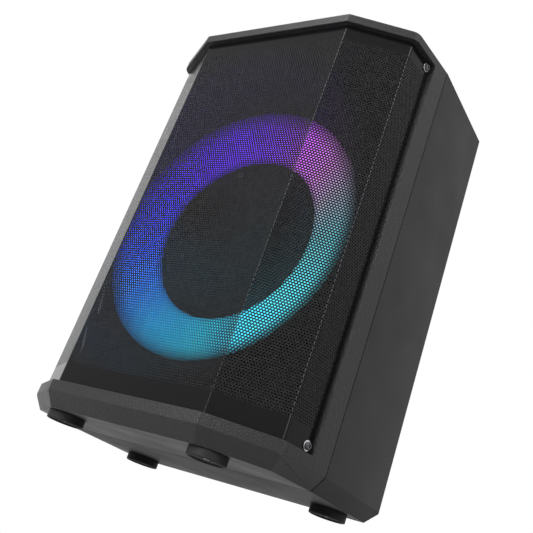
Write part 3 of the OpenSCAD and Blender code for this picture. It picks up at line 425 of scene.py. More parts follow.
@dataclass(frozen=True)
class Fibre:
    """Pressed paper, cloth or board, with fibres and a weave or flecks."""

    slot: str
    colour: tuple[float, float, float]
    fleck: float = 1.2 * MM
    depth: float = 0.08 * MM
    roughness: float = 0.85
    shine: float = 0.12

    def material(self) -> bpy.types.Material:
        """The node material of this fibre sheet."""
        shader = Shader(self.slot)
        where = shader.place()
        fibres = shader.noise(where, self.fleck, 6.0, 0.75)
        shader.tint(fibres, shade(self.colour, 0.6), shade(self.colour, 1.6))
        shader.gloss(fibres, self.roughness * 0.9, min(1.0, self.roughness * 1.1))
        shader.set(Specular_IOR_Level=self.shine)
        shader.bump(fibres, self.depth, 0.8)
        return shader.material


@dataclass(frozen=True)
class Board:
    """A lacquered circuit board with tracks and pads under the lacquer."""

    slot: str
    colour: tuple[float, float, float]
    track: tuple[float, float, float]

    def material(self) -> bpy.types.Material:
        """The node material of this board."""
        shader = Shader(self.slot)
        tracks = shader.tree.nodes.new("ShaderNodeTexBrick")
        tracks.inputs["Scale"].default_value = 90.0
        tracks.inputs["Mortar Size"].default_value = 0.03
        tracks.inputs["Color1"].default_value = (*self.colour, 1.0)
        tracks.inputs["Color2"].default_value = (*shade(self.colour, 0.8), 1.0)
        tracks.inputs["Mortar"].default_value = (*self.track, 1.0)
        shader.join(shader.place(), tracks.inputs["Vector"])
        shader.join(tracks.outputs["Color"], shader.principled.inputs["Base Color"])
        shader.gloss(shader.noise(shader.place(), 6 * MM), 0.25, 0.4)
        shader.set(Coat_Weight=0.4, Coat_Roughness=0.15)
        shader.bump(tracks.outputs["Fac"], 0.05 * MM, 0.5)
        return shader.material


@dataclass(frozen=True)
class RingGlow:
    """The milky lens, lit from behind in colours that change round the ring."""

    slot: str
    centre: Vector
    inner: float
    outer: float
    strength: float = 6.5
    # Shares of a turn, anticlockwise from the right, and their colours
    hues: tuple[tuple[float, tuple[float, float, float]], ...] = (
        (0.00, (0.025, 0.10, 0.11)),
        (0.06, (0.07, 0.07, 0.095)),
        (0.11, (0.13, 0.045, 0.15)),
        (0.17, (0.16, 0.03, 0.24)),
        (0.22, (0.13, 0.015, 0.55)),
        (0.28, (0.12, 0.015, 0.85)),
        (0.36, (0.10, 0.012, 0.95)),
        (0.44, (0.055, 0.03, 1.00)),
        (0.53, (0.02, 0.07, 0.95)),
        (0.61, (0.01, 0.20, 0.88)),
        (0.68, (0.01, 0.30, 0.66)),
        (0.77, (0.01, 0.32, 0.46)),
        (0.82, (0.012, 0.19, 0.25)),
        (0.90, (0.018, 0.17, 0.19)),
        (1.00, (0.025, 0.10, 0.11)),
    )

    def material(self) -> bpy.types.Material:
        """The node material of the lit lens."""
        shader = Shader(self.slot)
        flat = shader.place(self.centre, (1.0, 0.0, 1.0), (-math.pi / 2, 0, math.pi))
        angle = shader.tree.nodes.new("ShaderNodeTexGradient")
        angle.gradient_type = "RADIAL"
        shader.join(flat, angle.inputs["Vector"])
        colour = shader.ramp(angle.outputs["Fac"], list(self.hues), eased=False)
        length = shader.tree.nodes.new("ShaderNodeVectorMath")
        length.operation = "LENGTH"
        shader.join(flat, length.inputs[0])
        radius = length.outputs["Value"]
        soft = shader.span(radius, 1.0, 0.12, self.outer - 16 * MM, self.outer)
        crisp = shader.span(radius, 0.35, 1.0, self.inner, self.inner + 6 * MM)
        level = shader.maths("MULTIPLY", soft, crisp)
        cloud = shader.span(shader.noise(shader.place(), 35 * MM, 2.0), 0.9, 1.1, 0.3, 0.7)
        level = shader.maths("MULTIPLY", level, cloud)
        shader.join(colour, shader.principled.inputs["Emission Color"])
        shader.join(shader.maths("MULTIPLY", level, self.strength),
                    shader.principled.inputs["Emission Strength"])
        shader.join(colour, shader.principled.inputs["Base Color"])
        shader.gloss(shader.noise(shader.place(), 4 * MM), 0.5, 0.65)
        shader.bump(shader.noise(shader.place(), 1.0 * MM), 0.02 * MM, 0.4)
        return shader.material


class Finishes:
    """Every finish of the part, made once and handed out by its slot name."""

    def __init__(self, ring_centre: Vector, ring_in: float, ring_out: float) -> None:
        """Makes every material.

        Args:
            ring_centre: The light ring's centre.
            ring_in: The lit ring's inner radius.
            ring_out: The lit ring's outer radius.
        """
        black = (0.008, 0.008, 0.0085)
        kinds = [
            Plastic("frame_plastic", (0.011, 0.011, 0.012), 0.42, Grain.LEATHER, 0.9 * MM, 0.3 * MM,
                    shine=0.25),
            Plastic("shell_plastic", (0.014, 0.014, 0.015), 0.45, Grain.SATIN, 0.6 * MM, 0.06 * MM,
                    shine=0.1),
            # The second colour is the painted highlight on the hole rims
            Perforated("grille_steel", (0.004, 0.004, 0.0045), (0.06, 0.06, 0.062)),
            Plastic("dark_plastic", black, 0.5, Grain.FINE, 0.4 * MM, 0.03 * MM, shine=0.1),
            Rubber("foot_rubber", (0.010, 0.010, 0.011)),
            Coated("black_screw", (0.03, 0.03, 0.032), 0.22, 2 * MM, 0.7),
            Metal("zinc_steel", (0.62, 0.63, 0.66), 0.28),
            Fibre("baffle_board", (0.008, 0.0078, 0.0075), 2.5 * MM, 0.1 * MM, shine=0.05),
            Rubber("foam", (0.03, 0.03, 0.03), 0.9),
            RingGlow("lens_milky", ring_centre, ring_in, ring_out),
            Board("circuit_board", (0.015, 0.12, 0.05), (0.03, 0.22, 0.09)),
            Board("lamp_board", (0.75, 0.76, 0.74), (0.55, 0.56, 0.55)),
            Plastic("lamp", (0.85, 0.82, 0.6), 0.15, Grain.SATIN, 0.3 * MM, 0.01 * MM, 0.5),
            Coated("basket_steel", (0.012, 0.012, 0.013), 0.4, shine=0.2),
            Fibre("cone_paper", (0.010, 0.010, 0.011), 1.4 * MM, 0.08 * MM, shine=0.05),
            Rubber("surround_rubber", (0.007, 0.007, 0.0075), 0.55, 0.1),
            Fibre("cap_paper", (0.009, 0.009, 0.0095), 0.9 * MM, 0.05 * MM, 0.7, 0.05),
            Metal("coil_copper", (0.75, 0.36, 0.18), 0.25, (1.0, 30.0, 1.0)),
            Fibre("spider_cloth", (0.42, 0.28, 0.1), 0.7 * MM, 0.1 * MM),
            Fibre("ferrite", (0.045, 0.045, 0.05), 1.8 * MM, 0.05 * MM, 0.7),
            Plastic("control_plastic", (0.026, 0.026, 0.028), 0.5, Grain.FINE, 0.35 * MM,
                    0.03 * MM),
            Plastic("button_plastic", (0.075, 0.075, 0.08), 0.42, Grain.SATIN, 0.4 * MM, 0.02 * MM),
            Plastic("knob_plastic", (0.03, 0.03, 0.032), 0.4, Grain.SATIN, 0.4 * MM, 0.02 * MM),
            Plastic("jack_plastic", (0.015, 0.015, 0.016), 0.22, Grain.SATIN, 0.5 * MM,
                    0.01 * MM, 0.3),
            Metal("socket_steel", (0.78, 0.78, 0.8), 0.18),
            Metal("sink_aluminium", (0.8, 0.81, 0.83), 0.35, (1.0, 1.0, 0.05)),
            Plastic("capacitor_sleeve", (0.02, 0.025, 0.14), 0.25, Grain.SATIN, 0.5 * MM,
                    0.01 * MM, 0.4),
            Plastic("battery_wrap", (0.02, 0.07, 0.28), 0.28, Grain.SATIN, 3 * MM, 0.05 * MM, 0.3),
            Rubber("lead_red", (0.4, 0.02, 0.018), 0.5),
        ]
        self.by_slot = {kind.slot: kind.material() for kind in kinds}

    def dress(self, piece: bpy.types.Object, slot: str) -> None:
        """Gives a piece one finish all over.

        Args:
            piece: The piece or CAD node.
            slot: The slot name of the finish.
        """
        if not piece.material_slots:
            piece.data.materials.append(self.by_slot[slot])
        for socket in piece.material_slots:
            socket.link = "OBJECT"
            socket.material = self.by_slot[slot]


# ---- workshop


class Workshop:
    """Makes pieces out of bmeshes or of CAD nodes, dresses them and puts them on their bodies."""

    def __init__(self, finishes: Finishes) -> None:
        """Keeps the finishes and what slot each CAD node has.

        Args:
            finishes: The part's finishes.
        """
        self.finishes = finishes
        self.slots = {row["node"]: row["material_slot"] for row in frame["record"]["subparts"]}

    def piece(self, bm: bmesh.types.BMesh, name: str, slot: str, body: Body | str,
              replaces: tuple[str, ...] = (), smooth: float = 30.0) -> bpy.types.Object:
        """Turns a bmesh into a finished piece on a body.

        Args:
            bm: The bmesh, freed here.
            name: The piece's name.
            slot: Its material slot.
            body: The body it rides on.
            replaces: CAD nodes that it stands for.
            smooth: The angle in degrees below which edges are smooth.

        Returns:
            The piece.
        """
        mesh = bpy.data.meshes.new(name)
        bm.to_mesh(mesh)
        bm.free()
        mesh.shade_smooth()
        mesh.set_sharp_from_angle(angle=math.radians(smooth))
        made = bpy.data.objects.new(name, mesh)
        bpy.context.scene.collection.objects.link(made)
        self.finishes.dress(made, slot)
        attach(made, body.value if isinstance(body, Body) else body)
        if replaces:
            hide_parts(*replaces)
        LOG.info("%s: %d faces", name, len(mesh.polygons))
        return made

    def merged(self, node: str) -> bmesh.types.BMesh:
        """A joined-up copy of a CAD node's mesh, its flat areas in single faces.

        Args:
            node: The CAD node.

        Returns:
            The bmesh.
        """
        bm = bmesh.new()
        bm.from_mesh(frame["nodes"][node].data)
        bmesh.ops.remove_doubles(bm, verts=bm.verts, dist=MERGE)
        bmesh.ops.dissolve_limit(bm, angle_limit=math.radians(FLAT_TURN), verts=bm.verts,
                                 edges=bm.edges, use_dissolve_boundaries=False)
        return bm

    def refine(self, node: str, edge: float, body: Body | str = Body.CABINET, turn: float = 28.0,
               segments: int = 2) -> bpy.types.Object:
        """Replaces a CAD node by a copy with rounded edges.

        Args:
            node: The CAD node.
            edge: The width of the rounding in metres, or 0 for none.
            body: The body it rides on.
            turn: The angle in degrees from which an edge is rounded.
            segments: The rounding's steps.

        Returns:
            The new piece.
        """
        bm = self.merged(node)
        made = self.piece(bm, node + "_fine", self.slots[node], body, (node,))
        if edge > 0:
            bevel = made.modifiers.new("rounded_edges", "BEVEL")
            bevel.width = edge
            bevel.segments = segments
            bevel.limit_method = "ANGLE"
            bevel.angle_limit = math.radians(turn)
            bevel.use_clamp_overlap = False
            bevel.harden_normals = True
        return made

    def keep(self, *nodes: str) -> None:
        """Dresses CAD nodes that stay as they are."""
        for node in nodes:
            self.finishes.dress(frame["nodes"][node], self.slots[node])
            LOG.info("%s: kept, %s", node, self.slots[node])


def repeat(bm: bmesh.types.BMesh, step: Vector, count: int) -> None:
    """Repeats all that a bmesh holds in a row, mostly by doubling.

    Args:
        bm: The bmesh, which holds the first copy.
        step: The distance from one copy to the next.
        count: How many there are in the end.
    """
    unit = bpy.data.meshes.new("unit")
    bm.to_mesh(unit)
    have = 1
    for digit in bin(count)[3:]:
        whole = bm.verts[:] + bm.edges[:] + bm.faces[:]
        copy = bmesh.ops.duplicate(bm, geom=whole)["geom"]
        moved = [item for item in copy if isinstance(item, bmesh.types.BMVert)]
        bmesh.ops.translate(bm, verts=moved, vec=step * have)
        have *= 2
        if digit == "1":
            first = len(bm.verts)
            bm.from_mesh(unit)
            bm.verts.ensure_lookup_table()
            bmesh.ops.translate(bm, verts=bm.verts[first:], vec=step * have)
            have += 1
    bpy.data.meshes.remove(unit)


def append(bm: bmesh.types.BMesh, other: bmesh.types.BMesh) -> None:
    """Adds all of another bmesh to one, and frees the other."""
    carrier = bpy.data.meshes.new("carrier")
    other.to_mesh(carrier)
    other.free()
    bm.from_mesh(carrier)
    bpy.data.meshes.remove(carrier)


# ---- sub-assemblies


@dataclass(frozen=True)
class Plan:
    """The body's right half in plan: where its facets meet, as (x, depth behind the front)."""

    flat_half: float = 97.0 * MM
    cheek_half: float = 161.4 * MM
    cheek_depth: float = 40.0 * MM
    widest_depth: float = 105.1 * MM

    def inset(self, distance: float, end_depth: float) -> list[Vector]:
        """The half line moved inwards, from the front corner to a depth.

        Args:
            distance: How far inwards.
            end_depth: The depth at which the line stops.

        Returns:
            The front corner, the side corner and the end, as (x, y).
        """
        front = CAD_BOX[0][1]
        points = [Vector((0, 0)), Vector((self.flat_half, 0)),
                  Vector((self.cheek_half, self.cheek_depth)),
                  Vector((CAD_BOX[1][0], self.widest_depth))]
        lines = []
        for start, stop in zip(points, points[1:]):
            run = (stop - start).normalized()
            lines.append((start + Vector((-run.y, run.x)) * distance, run))
        corners = [self.crossing(lines[0], lines[1]), self.crossing(lines[1], lines[2])]
        start, run = lines[2]
        corners.append(start + run * ((end_depth - start.y) / run.y))
        return [Vector((corner.x, front + corner.y)) for corner in corners]

    @staticmethod
    def crossing(first: tuple[Vector, Vector], second: tuple[Vector, Vector]) -> Vector:
        """Where two lines, each a point and a direction, cross."""
        (p, d), (q, e) = first, second
        along = (q - p).cross(e) / d.cross(e)
        return p + d * along


class BentPath:
    """A line in plan made of straight runs and round bends, measured along its length."""

    def __init__(self, corners: list[Vector], radii: list[float]) -> None:
        """Works out the runs and bends.

        Args:
            corners: The line's corners, with the inside on the left.
            radii: The bend radius at each corner.
        """
        self.parts: list[tuple] = []
        start = corners[0]
        for index in range(1, len(corners)):
            run = (corners[index] - corners[index - 1]).normalized()
            end = corners[index]
            if index < len(corners) - 1:
                after = (corners[index + 1] - corners[index]).normalized()
                turn = math.atan2(run.cross(after), run.dot(after))
                back = radii[index] * math.tan(turn / 2)
                end = corners[index] - run * back
            length = (end - start).length
            self.parts.append((length, start, run, 0.0, 0.0))
            if index < len(corners) - 1:
                self.parts.append((radii[index] * turn, end, run, radii[index], turn))
                start = corners[index] + after * back
        self.length = sum(part[0] for part in self.parts)
        self.known: dict[float, tuple[Vector, Vector]] = {}

    def at(self, distance: float) -> tuple[Vector, Vector]:
        """The point and the inward direction at a distance along the line.

        Args:
            distance: How far along, from the first corner.

        Returns:
            The point and the inward unit vector, both as (x, y).
        """
        key = round(distance, 8)
        if key not in self.known:
            left = min(max(distance, 0.0), self.length)
            for part in self.parts:
                if left <= part[0] or part is self.parts[-1]:
                    break
                left -= part[0]
            length, start, run, radius, turn = part
            inward = Vector((-run.y, run.x))
            if radius:
                swing = Matrix.Rotation(turn * left / length, 2)
                self.known[key] = (start + inward * radius - swing @ (inward * radius),
                                   swing @ inward)
            else:
                self.known[key] = (start + run * left, inward)
        return self.known[key]


@dataclass
class PerforatedGrille:
    """The wrap-round steel sheet with staggered round holes and plain margins."""

    shop: Workshop
    plan: Plan = field(default_factory=Plan)
    pitch: float = 3.0 * MM
    hole_r: float = 1.04 * MM
    hole_sides: int = 8
    thickness: float = 1.2 * MM
    sheet_inset: float = 6.2 * MM
    side_bend: float = 6.8 * MM
    front_bend: float = 1.8 * MM
    bend_step: float = 0.9 * MM
    sharp_turn: float = 60.0
    margin_rows: int = 8
    margin_columns: int = 2
    margin_low: float = 17.2 * MM
    margin_high: float = 13.4 * MM
    margin_rear: float = 2.4 * MM

    def build(self) -> None:
        """Makes the sheet in seven pieces, which meet hole row to hole row."""
        low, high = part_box("grille")
        half = self.plan.inset(self.sheet_inset, high.y - CAD_BOX[0][1])
        left = [Vector((-point.x, point.y)) for point in reversed(half)]
        self.path = BentPath(left + half, [0.0, self.side_bend, self.front_bend, self.front_bend,
                                           self.side_bend, 0.0])
        self.low, self.high = low.z, high.z
        self.row_step = self.pitch * math.sqrt(3) / 2
        holes_high = high.z - low.z - self.margin_low - self.margin_high - 2 * self.hole_r
        self.rows = int(holes_high / self.row_step) // 2 * 2
        self.columns = int((self.path.length - 2 * self.margin_rear - 2 * self.hole_r) / self.pitch)
        self.first_u = (self.path.length - (self.columns - 0.5) * self.pitch) / 2
        spare = holes_high - (self.rows - 1) * self.row_step
        self.first_z = low.z + self.margin_low + self.hole_r + spare / 2
        bends = [part[0] for part in self.path.parts]
        steep = self.column_at(bends[0] + bends[1])
        cheek = self.column_at(sum(bends[:4]))
        right_cheek, right_steep = self.columns - cheek, self.columns - steep
        third = self.rows // 6 * 2
        self.strip("grille_side_left", 0, steep, 0, self.rows)
        self.strip("grille_angled_left", steep, cheek, 0, self.rows)
        self.strip("grille_front_low", cheek, right_cheek, 0, third)
        self.strip("grille_front_middle", cheek, right_cheek, third, 2 * third)
        self.strip("grille_front_high", cheek, right_cheek, 2 * third, self.rows)
        self.strip("grille_angled_right", right_cheek, right_steep, 0, self.rows)
        self.strip("grille_side_right", right_steep, self.columns, 0, self.rows)

    def column_at(self, distance: float) -> int:
        """The first column of holes past a distance along the sheet."""
        return int((distance - self.first_u) / self.pitch) + 1

    def cell(self, holed: bool) -> bmesh.types.BMesh:
        """One six-sided cell of the sheet, plain or with its hole.

        Args:
            holed: Whether it has a hole.

        Returns:
            A bmesh in the plane of x and z.
        """
        bm = bmesh.new()
        upright = Matrix.Rotation(math.pi / 2, 4, "X")
        bmesh.ops.create_circle(bm, cap_ends=not holed, radius=self.pitch / math.sqrt(3),
                                segments=6, matrix=upright)
        if holed:
            punched = bm.verts.layers.float.new(HOLE_LAYER)
            hole = bmesh.ops.create_circle(
                bm, cap_ends=False, radius=self.hole_r, segments=self.hole_sides,
                matrix=upright @ Matrix.Rotation(math.pi / self.hole_sides, 4, "Z"))
            for vert in hole["verts"]:
                vert[punched] = 1.0
            bmesh.ops.bridge_loops(bm, edges=bm.edges[:])
        return bm

    def patch(self, holed: bool, column: int, columns: int, row: int,
              rows: int) -> bmesh.types.BMesh:
        """A block of cells, laid flat, with every second row shifted by half a pitch.

        Args:
            holed: Whether the cells have holes.
            column: The first column.
            columns: The number of columns.
            row: The first row, an even number.
            rows: The number of rows, an even number.

        Returns:
            A bmesh in the plane of x and z.
        """
        bm = self.cell(holed)
        repeat(bm, Vector((self.pitch, 0, 0)), columns)
        repeat(bm, Vector((self.pitch / 2, 0, self.row_step)), 2)
        repeat(bm, Vector((0, 0, 2 * self.row_step)), rows // 2)
        bmesh.ops.translate(bm, verts=bm.verts, vec=(self.first_u + column * self.pitch, 0,
                                                     self.first_z + row * self.row_step))
        return bm

    def strip(self, name: str, start: int, stop: int, row: int, end_row: int) -> None:
        """One piece of the sheet, with the plain margins that it reaches.

        Args:
            name: The piece's name.
            start: Its first column.
            stop: The column after its last.
            row: Its first row.
            end_row: The row after its last.
        """
        bm = self.patch(True, start, stop - start, row, end_row - row)
        below = self.margin_rows if row == 0 else 0
        above = self.margin_rows if end_row == self.rows else 0
        plain = []
        if below:
            plain.append(self.patch(False, start, stop - start, -below, below))
        if above:
            plain.append(self.patch(False, start, stop - start, end_row, above))
        if start == 0:
            plain.append(self.patch(False, -self.margin_columns, self.margin_columns, row - below,
                                    end_row - row + below + above))
        if stop == self.columns:
            plain.append(self.patch(False, stop, self.margin_columns, row - below,
                                    end_row - row + below + above))
        margin = bmesh.new()
        for part in plain:
            append(margin, part)
        for point, away in (((0, 0, self.low), (0, 0, -1)), ((0, 0, self.high), (0, 0, 1)),
                            ((0, 0, 0), (-1, 0, 0)), ((self.path.length, 0, 0), (1, 0, 0))):
            bmesh.ops.bisect_plane(margin, geom=margin.verts[:] + margin.edges[:] + margin.faces[:],
                                   plane_co=point, plane_no=away, clear_outer=True)
        bmesh.ops.remove_doubles(margin, verts=margin.verts, dist=SHEET_MERGE)
        if margin.faces:
            bmesh.ops.dissolve_faces(margin, faces=margin.faces[:])
        self.score(margin, self.path.length)
        self.score(bm, self.pitch)
        append(bm, margin)
        bmesh.ops.remove_doubles(bm, verts=bm.verts, dist=SHEET_MERGE)
        self.thicken(bm)
        self.fold(bm)
        self.shop.piece(bm, name, "grille_steel", Body.CABINET, ("grille",),
                        smooth=self.sharp_turn)

    def score(self, bm: bmesh.types.BMesh, reach: float) -> None:
        """Cuts the flat sheet along its bend lines, so that the bends are even and straight.

        Args:
            bm: The flat sheet.
            reach: How far from a line a face's middle may lie for the face to be cut.
        """
        done = 0.0
        for length, _start, _run, radius, _turn in self.path.parts:
            cuts = max(2, round(length / self.bend_step)) if radius else 0
            for index in range(cuts + 1 if cuts else 0):
                line = done + length * index / cuts
                near = [face for face in bm.faces
                        if abs(face.calc_center_median().x - line) < reach]
                if near:
                    edges = {edge for face in near for edge in face.edges}
                    verts = {vert for face in near for vert in face.verts}
                    bmesh.ops.bisect_plane(bm, geom=[*verts, *edges, *near], dist=0.02 * MM,
                                           plane_co=(line, 0, 0), plane_no=(1, 0, 0))
            done += length

    def thicken(self, bm: bmesh.types.BMesh) -> None:
        """Gives the flat sheet its thickness and turns every face outwards."""
        raised = bmesh.ops.extrude_face_region(bm, geom=bm.faces[:], use_keep_orig=True)["geom"]
        moved = [item for item in raised if isinstance(item, bmesh.types.BMVert)]
        punched = bm.verts.layers.float[HOLE_LAYER]
        for vert in moved:
            vert[punched] = 0.0
        bmesh.ops.translate(bm, verts=moved, vec=(0, self.thickness, 0))
        bmesh.ops.recalc_face_normals(bm, faces=bm.faces)

    def fold(self, bm: bmesh.types.BMesh) -> None:
        """Wraps the flat sheet round the front, keeping its thickness inwards."""
        for vert in bm.verts:
            point, inward = self.path.at(vert.co.x)
            depth = vert.co.y
            vert.co.x = point.x + inward.x * depth
            vert.co.y = point.y + inward.y * depth


@dataclass
class Enclosure:
    """The front frame, the cabinet, the sheet's fixings and the feet."""

    shop: Workshop
    frame_edge: float = 0.8 * MM
    shell_edge: float = 0.4 * MM
    foot_edge: float = 0.5 * MM
    screw_edge: float = 0.25 * MM

    def build(self) -> None:
        """Rounds the edges of what shows and dresses what doesn't."""
        self.shop.refine("front_frame", self.frame_edge)
        self.shop.refine("cabinet_shell", self.shell_edge)
        for foot in ("foot_front_left", "foot_front_right", "foot_rear_left", "foot_rear_right"):
            self.shop.refine(foot, self.foot_edge)
        self.shop.refine("grille_washers", self.screw_edge)
        self.shop.refine("grille_screws", self.screw_edge)
        self.shop.refine("panel_screws", 0.0)
        self.shop.keep("foot_screws", "baffle", "baffle_gasket", "baffle_screws")


@dataclass
class DriverAndRing:
    """The eight-inch driver and the lit ring round it."""

    shop: Workshop

    def build(self) -> None:
        """Dresses the nodes behind the sheet."""
        self.shop.keep("light_housing", "led_board", "led_lamps", "light_lens", "housing_screws",
                       "driver_gasket", "driver_trim_ring", "driver_basket", "driver_screws",
                       "cone", "surround", "dust_cap", "voice_coil", "spider", "top_plate",
                       "magnet", "back_plate")


@dataclass
class TopControls:
    """The tray let into the top, with its push buttons."""

    shop: Workshop
    edge: float = 0.4 * MM
    button_edge: float = 0.2 * MM
    buttons: tuple[str, ...] = ("button_power", "button_mode", "button_back", "button_play",
                                "button_next", "button_light")

    def build(self) -> None:
        """Rounds the tray and the buttons."""
        self.shop.refine("control_tray", self.edge)
        for button in self.buttons:
            self.shop.refine(button, self.button_edge, button)
        self.shop.keep("control_board", "tact_switches")


@dataclass
class RearFittings:
    """The hand grip, the bass port and the socket panel with its knobs and switch."""

    shop: Workshop
    edge: float = 0.4 * MM
    fine: float = 0.2 * MM

    def build(self) -> None:
        """Rounds everything that shows at the back."""
        self.shop.refine("handle_cup", self.edge)
        self.shop.refine("port_tube", 0.0)
        self.shop.refine("socket_panel", self.edge)
        self.shop.refine("mic_knob", self.fine, Body.MIC_KNOB)
        self.shop.refine("guitar_knob", self.fine, Body.GUITAR_KNOB)
        self.shop.refine("mic_jacks", self.fine)
        self.shop.refine("aux_jack", self.fine)
        self.shop.refine("usb_socket", 0.0)
        self.shop.refine("dc_jack", self.fine)
        self.shop.refine("switch_case", self.fine)
        self.shop.refine("switch_rocker", self.fine, Body.ROCKER)
        self.shop.keep("socket_board", "pot_bodies")


@dataclass
class Electronics:
    """The amplifier, the battery and their fixings inside."""

    shop: Workshop

    def build(self) -> None:
        """Dresses the nodes inside the cabinet."""
        self.shop.keep("amp_board", "heat_sink", "amp_capacitors", "battery_pack",
                       "battery_bracket", "board_screws", "speaker_lead")


# ---- studio


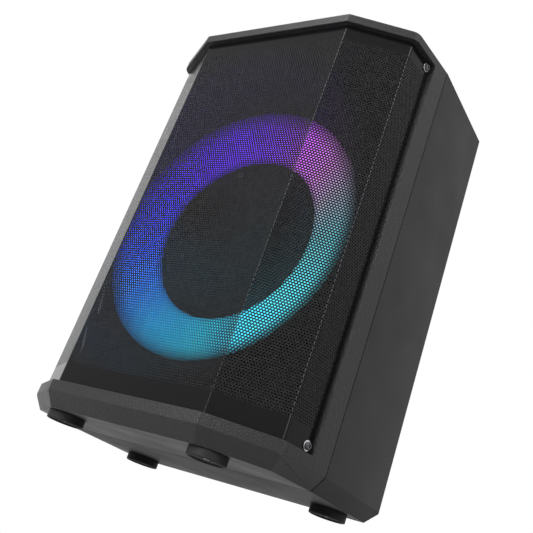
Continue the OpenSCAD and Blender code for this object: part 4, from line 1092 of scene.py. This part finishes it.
@dataclass
class Studio:
    """Floor, world, soft lights and the camera."""

    floor_size: float = 30.0
    floor_colour: tuple[float, float, float, float] = (0.92, 0.92, 0.92, 1)
    floor_glow: float = 0.6
    world_level: float = 0.2
    # Camera place relative to the object's box, and its three directions
    eye: tuple[float, float, float] = (0.5114, -0.6126, -0.0709)
    right: tuple[float, float, float] = (0.80706, 0.49498, 0.32193)
    up: tuple[float, float, float] = (-0.05575, -0.47890, 0.87610)
    forward: tuple[float, float, float] = (-0.58783, 0.72501, 0.35891)
    lens: float = 51.3
    sensor: float = 36.0
    nearest: float = 0.01
    # Name, place, target, width and height in metres and power in watts
    lamps: tuple = (
        ("front_strip", (-0.27, -1.62, 1.0), (0, 0, 0.25), 0.35, 1.5, 48.0),
        ("right_strip", (1.64, -0.32, 1.0), (0, 0, 0.25), 0.3, 1.5, 14.0),
        ("top_soft", (0.1, 0.1, 1.9), (0, 0, 0.3), 1.2, 1.2, 8.0),
        ("low_front", (0.2, -1.3, -0.45), (0, -0.05, 0.08), 0.7, 0.7, 2.5),
        ("rear_fill", (-0.8, 1.9, 1.2), (0, 0, 0.25), 1.0, 1.0, 12.0),
    )

    def build(self) -> None:
        """Sets up everything that isn't part of the object."""
        bpy.context.scene.view_settings.view_transform = "Standard"
        self.make_camera()
        self.make_world()
        self.make_floor()
        for name, place, target, width, height, power in self.lamps:
            self.make_lamp(name, Vector(place), Vector(target), width, height, power)

    def make_camera(self) -> None:
        """The camera, low at the front right corner."""
        data = bpy.data.cameras.new("camera")
        data.lens = self.lens
        data.sensor_width = self.sensor
        data.clip_start = self.nearest
        camera = bpy.data.objects.new("camera", data)
        right, up, forward = Vector(self.right), Vector(self.up), Vector(self.forward)
        turn = Matrix((right, up, -forward)).transposed()
        camera.matrix_world = Matrix.Translation(self.eye) @ turn.to_4x4()
        bpy.context.scene.collection.objects.link(camera)
        bpy.context.scene.camera = camera

    def seen(self, tree: bpy.types.NodeTree) -> bpy.types.NodeSocket:
        """Whether a ray is one that shows the surroundings: from the camera, a gloss or glass.

        Args:
            tree: The node tree to add to.

        Returns:
            The socket, 1 for such a ray.
        """
        path = tree.nodes.new("ShaderNodeLightPath")
        first = tree.nodes.new("ShaderNodeMath")
        first.operation = "MAXIMUM"
        tree.links.new(path.outputs["Is Camera Ray"], first.inputs[0])
        tree.links.new(path.outputs["Is Glossy Ray"], first.inputs[1])
        second = tree.nodes.new("ShaderNodeMath")
        second.operation = "MAXIMUM"
        tree.links.new(first.outputs["Value"], second.inputs[0])
        tree.links.new(path.outputs["Is Transmission Ray"], second.inputs[1])
        return second.outputs["Value"]

    def make_world(self) -> None:
        """A world that looks white and lights the object softly."""
        world = bpy.data.worlds.new("studio")
        bpy.context.scene.world = world
        world.use_nodes = True
        tree = world.node_tree
        tree.nodes.clear()
        output = tree.nodes.new("ShaderNodeOutputWorld")
        mix = tree.nodes.new("ShaderNodeMixShader")
        soft = tree.nodes.new("ShaderNodeBackground")
        soft.inputs["Strength"].default_value = self.world_level
        white = tree.nodes.new("ShaderNodeBackground")
        white.inputs["Color"].default_value = (1, 1, 1, 1)
        tree.links.new(self.seen(tree), mix.inputs["Fac"])
        tree.links.new(soft.outputs[0], mix.inputs[1])
        tree.links.new(white.outputs[0], mix.inputs[2])
        tree.links.new(mix.outputs[0], output.inputs["Surface"])
        soft.inputs["Color"].default_value = (1, 1, 1, 1)

    def make_floor(self) -> None:
        """A pale floor under the feet, clear from below and to lamps, that keeps the shadow."""
        bm = bmesh.new()
        bmesh.ops.create_grid(bm, x_segments=1, y_segments=1, size=self.floor_size / 2)
        mesh = bpy.data.meshes.new("floor")
        bm.to_mesh(mesh)
        bm.free()
        floor = bpy.data.objects.new("floor", mesh)
        bpy.context.scene.collection.objects.link(floor)
        material = bpy.data.materials.new("floor_pale")
        material.use_nodes = True
        tree = material.node_tree
        tree.nodes.clear()
        output = tree.nodes.new("ShaderNodeOutputMaterial")
        paint = tree.nodes.new("ShaderNodeBsdfDiffuse")
        paint.inputs["Color"].default_value = self.floor_colour
        glow = tree.nodes.new("ShaderNodeEmission")
        lit = tree.nodes.new("ShaderNodeMixShader")
        part = tree.nodes.new("ShaderNodeMath")
        part.operation = "MULTIPLY"
        part.inputs[1].default_value = self.floor_glow
        tree.links.new(self.seen(tree), part.inputs[0])
        tree.links.new(part.outputs[0], lit.inputs["Fac"])
        tree.links.new(paint.outputs[0], lit.inputs[1])
        tree.links.new(glow.outputs[0], lit.inputs[2])
        below = tree.nodes.new("ShaderNodeNewGeometry")
        path = tree.nodes.new("ShaderNodeLightPath")
        clear = tree.nodes.new("ShaderNodeMath")
        clear.operation = "MAXIMUM"
        tree.links.new(below.outputs["Backfacing"], clear.inputs[0])
        tree.links.new(path.outputs["Is Shadow Ray"], clear.inputs[1])
        glass = tree.nodes.new("ShaderNodeBsdfTransparent")
        mix = tree.nodes.new("ShaderNodeMixShader")
        tree.links.new(clear.outputs[0], mix.inputs["Fac"])
        tree.links.new(lit.outputs[0], mix.inputs[1])
        tree.links.new(glass.outputs[0], mix.inputs[2])
        tree.links.new(mix.outputs[0], output.inputs["Surface"])
        mesh.materials.append(material)

    def make_lamp(self, name: str, place: Vector, target: Vector, width: float, height: float,
                  power: float) -> None:
        """One soft upright lamp aimed at a point.

        Args:
            name: The lamp's name.
            place: Where it stands.
            target: What it points at.
            width: Its width.
            height: Its height.
            power: Its power in watts.
        """
        data = bpy.data.lights.new(name, "AREA")
        data.shape = "RECTANGLE"
        data.size = width
        data.size_y = height
        data.energy = power
        lamp = bpy.data.objects.new(name, data)
        lamp.matrix_world = Matrix.Translation(place) @ (target - place).to_track_quat(
            "-Z", "Y").to_matrix().to_4x4()
        lamp.visible_camera = False
        bpy.context.scene.collection.objects.link(lamp)


def main() -> None:
    """Builds the studio and every sub-assembly."""
    logging.basicConfig(level=logging.INFO, format="%(name)s: %(message)s")
    Studio().build()
    low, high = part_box("light_lens")
    trim_low, trim_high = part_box("driver_trim_ring")
    # The light starts this far inside the trim ring's outer edge
    rim = 6.8 * MM
    finishes = Finishes((low + high) / 2, (trim_high.x - trim_low.x) / 2 - rim,
                        (high.x - low.x) / 2)
    shop = Workshop(finishes)
    Enclosure(shop).build()
    DriverAndRing(shop).build()
    TopControls(shop).build()
    RearFittings(shop).build()
    Electronics(shop).build()
    PerforatedGrille(shop).build()


if __name__ == "__main__":
    main()
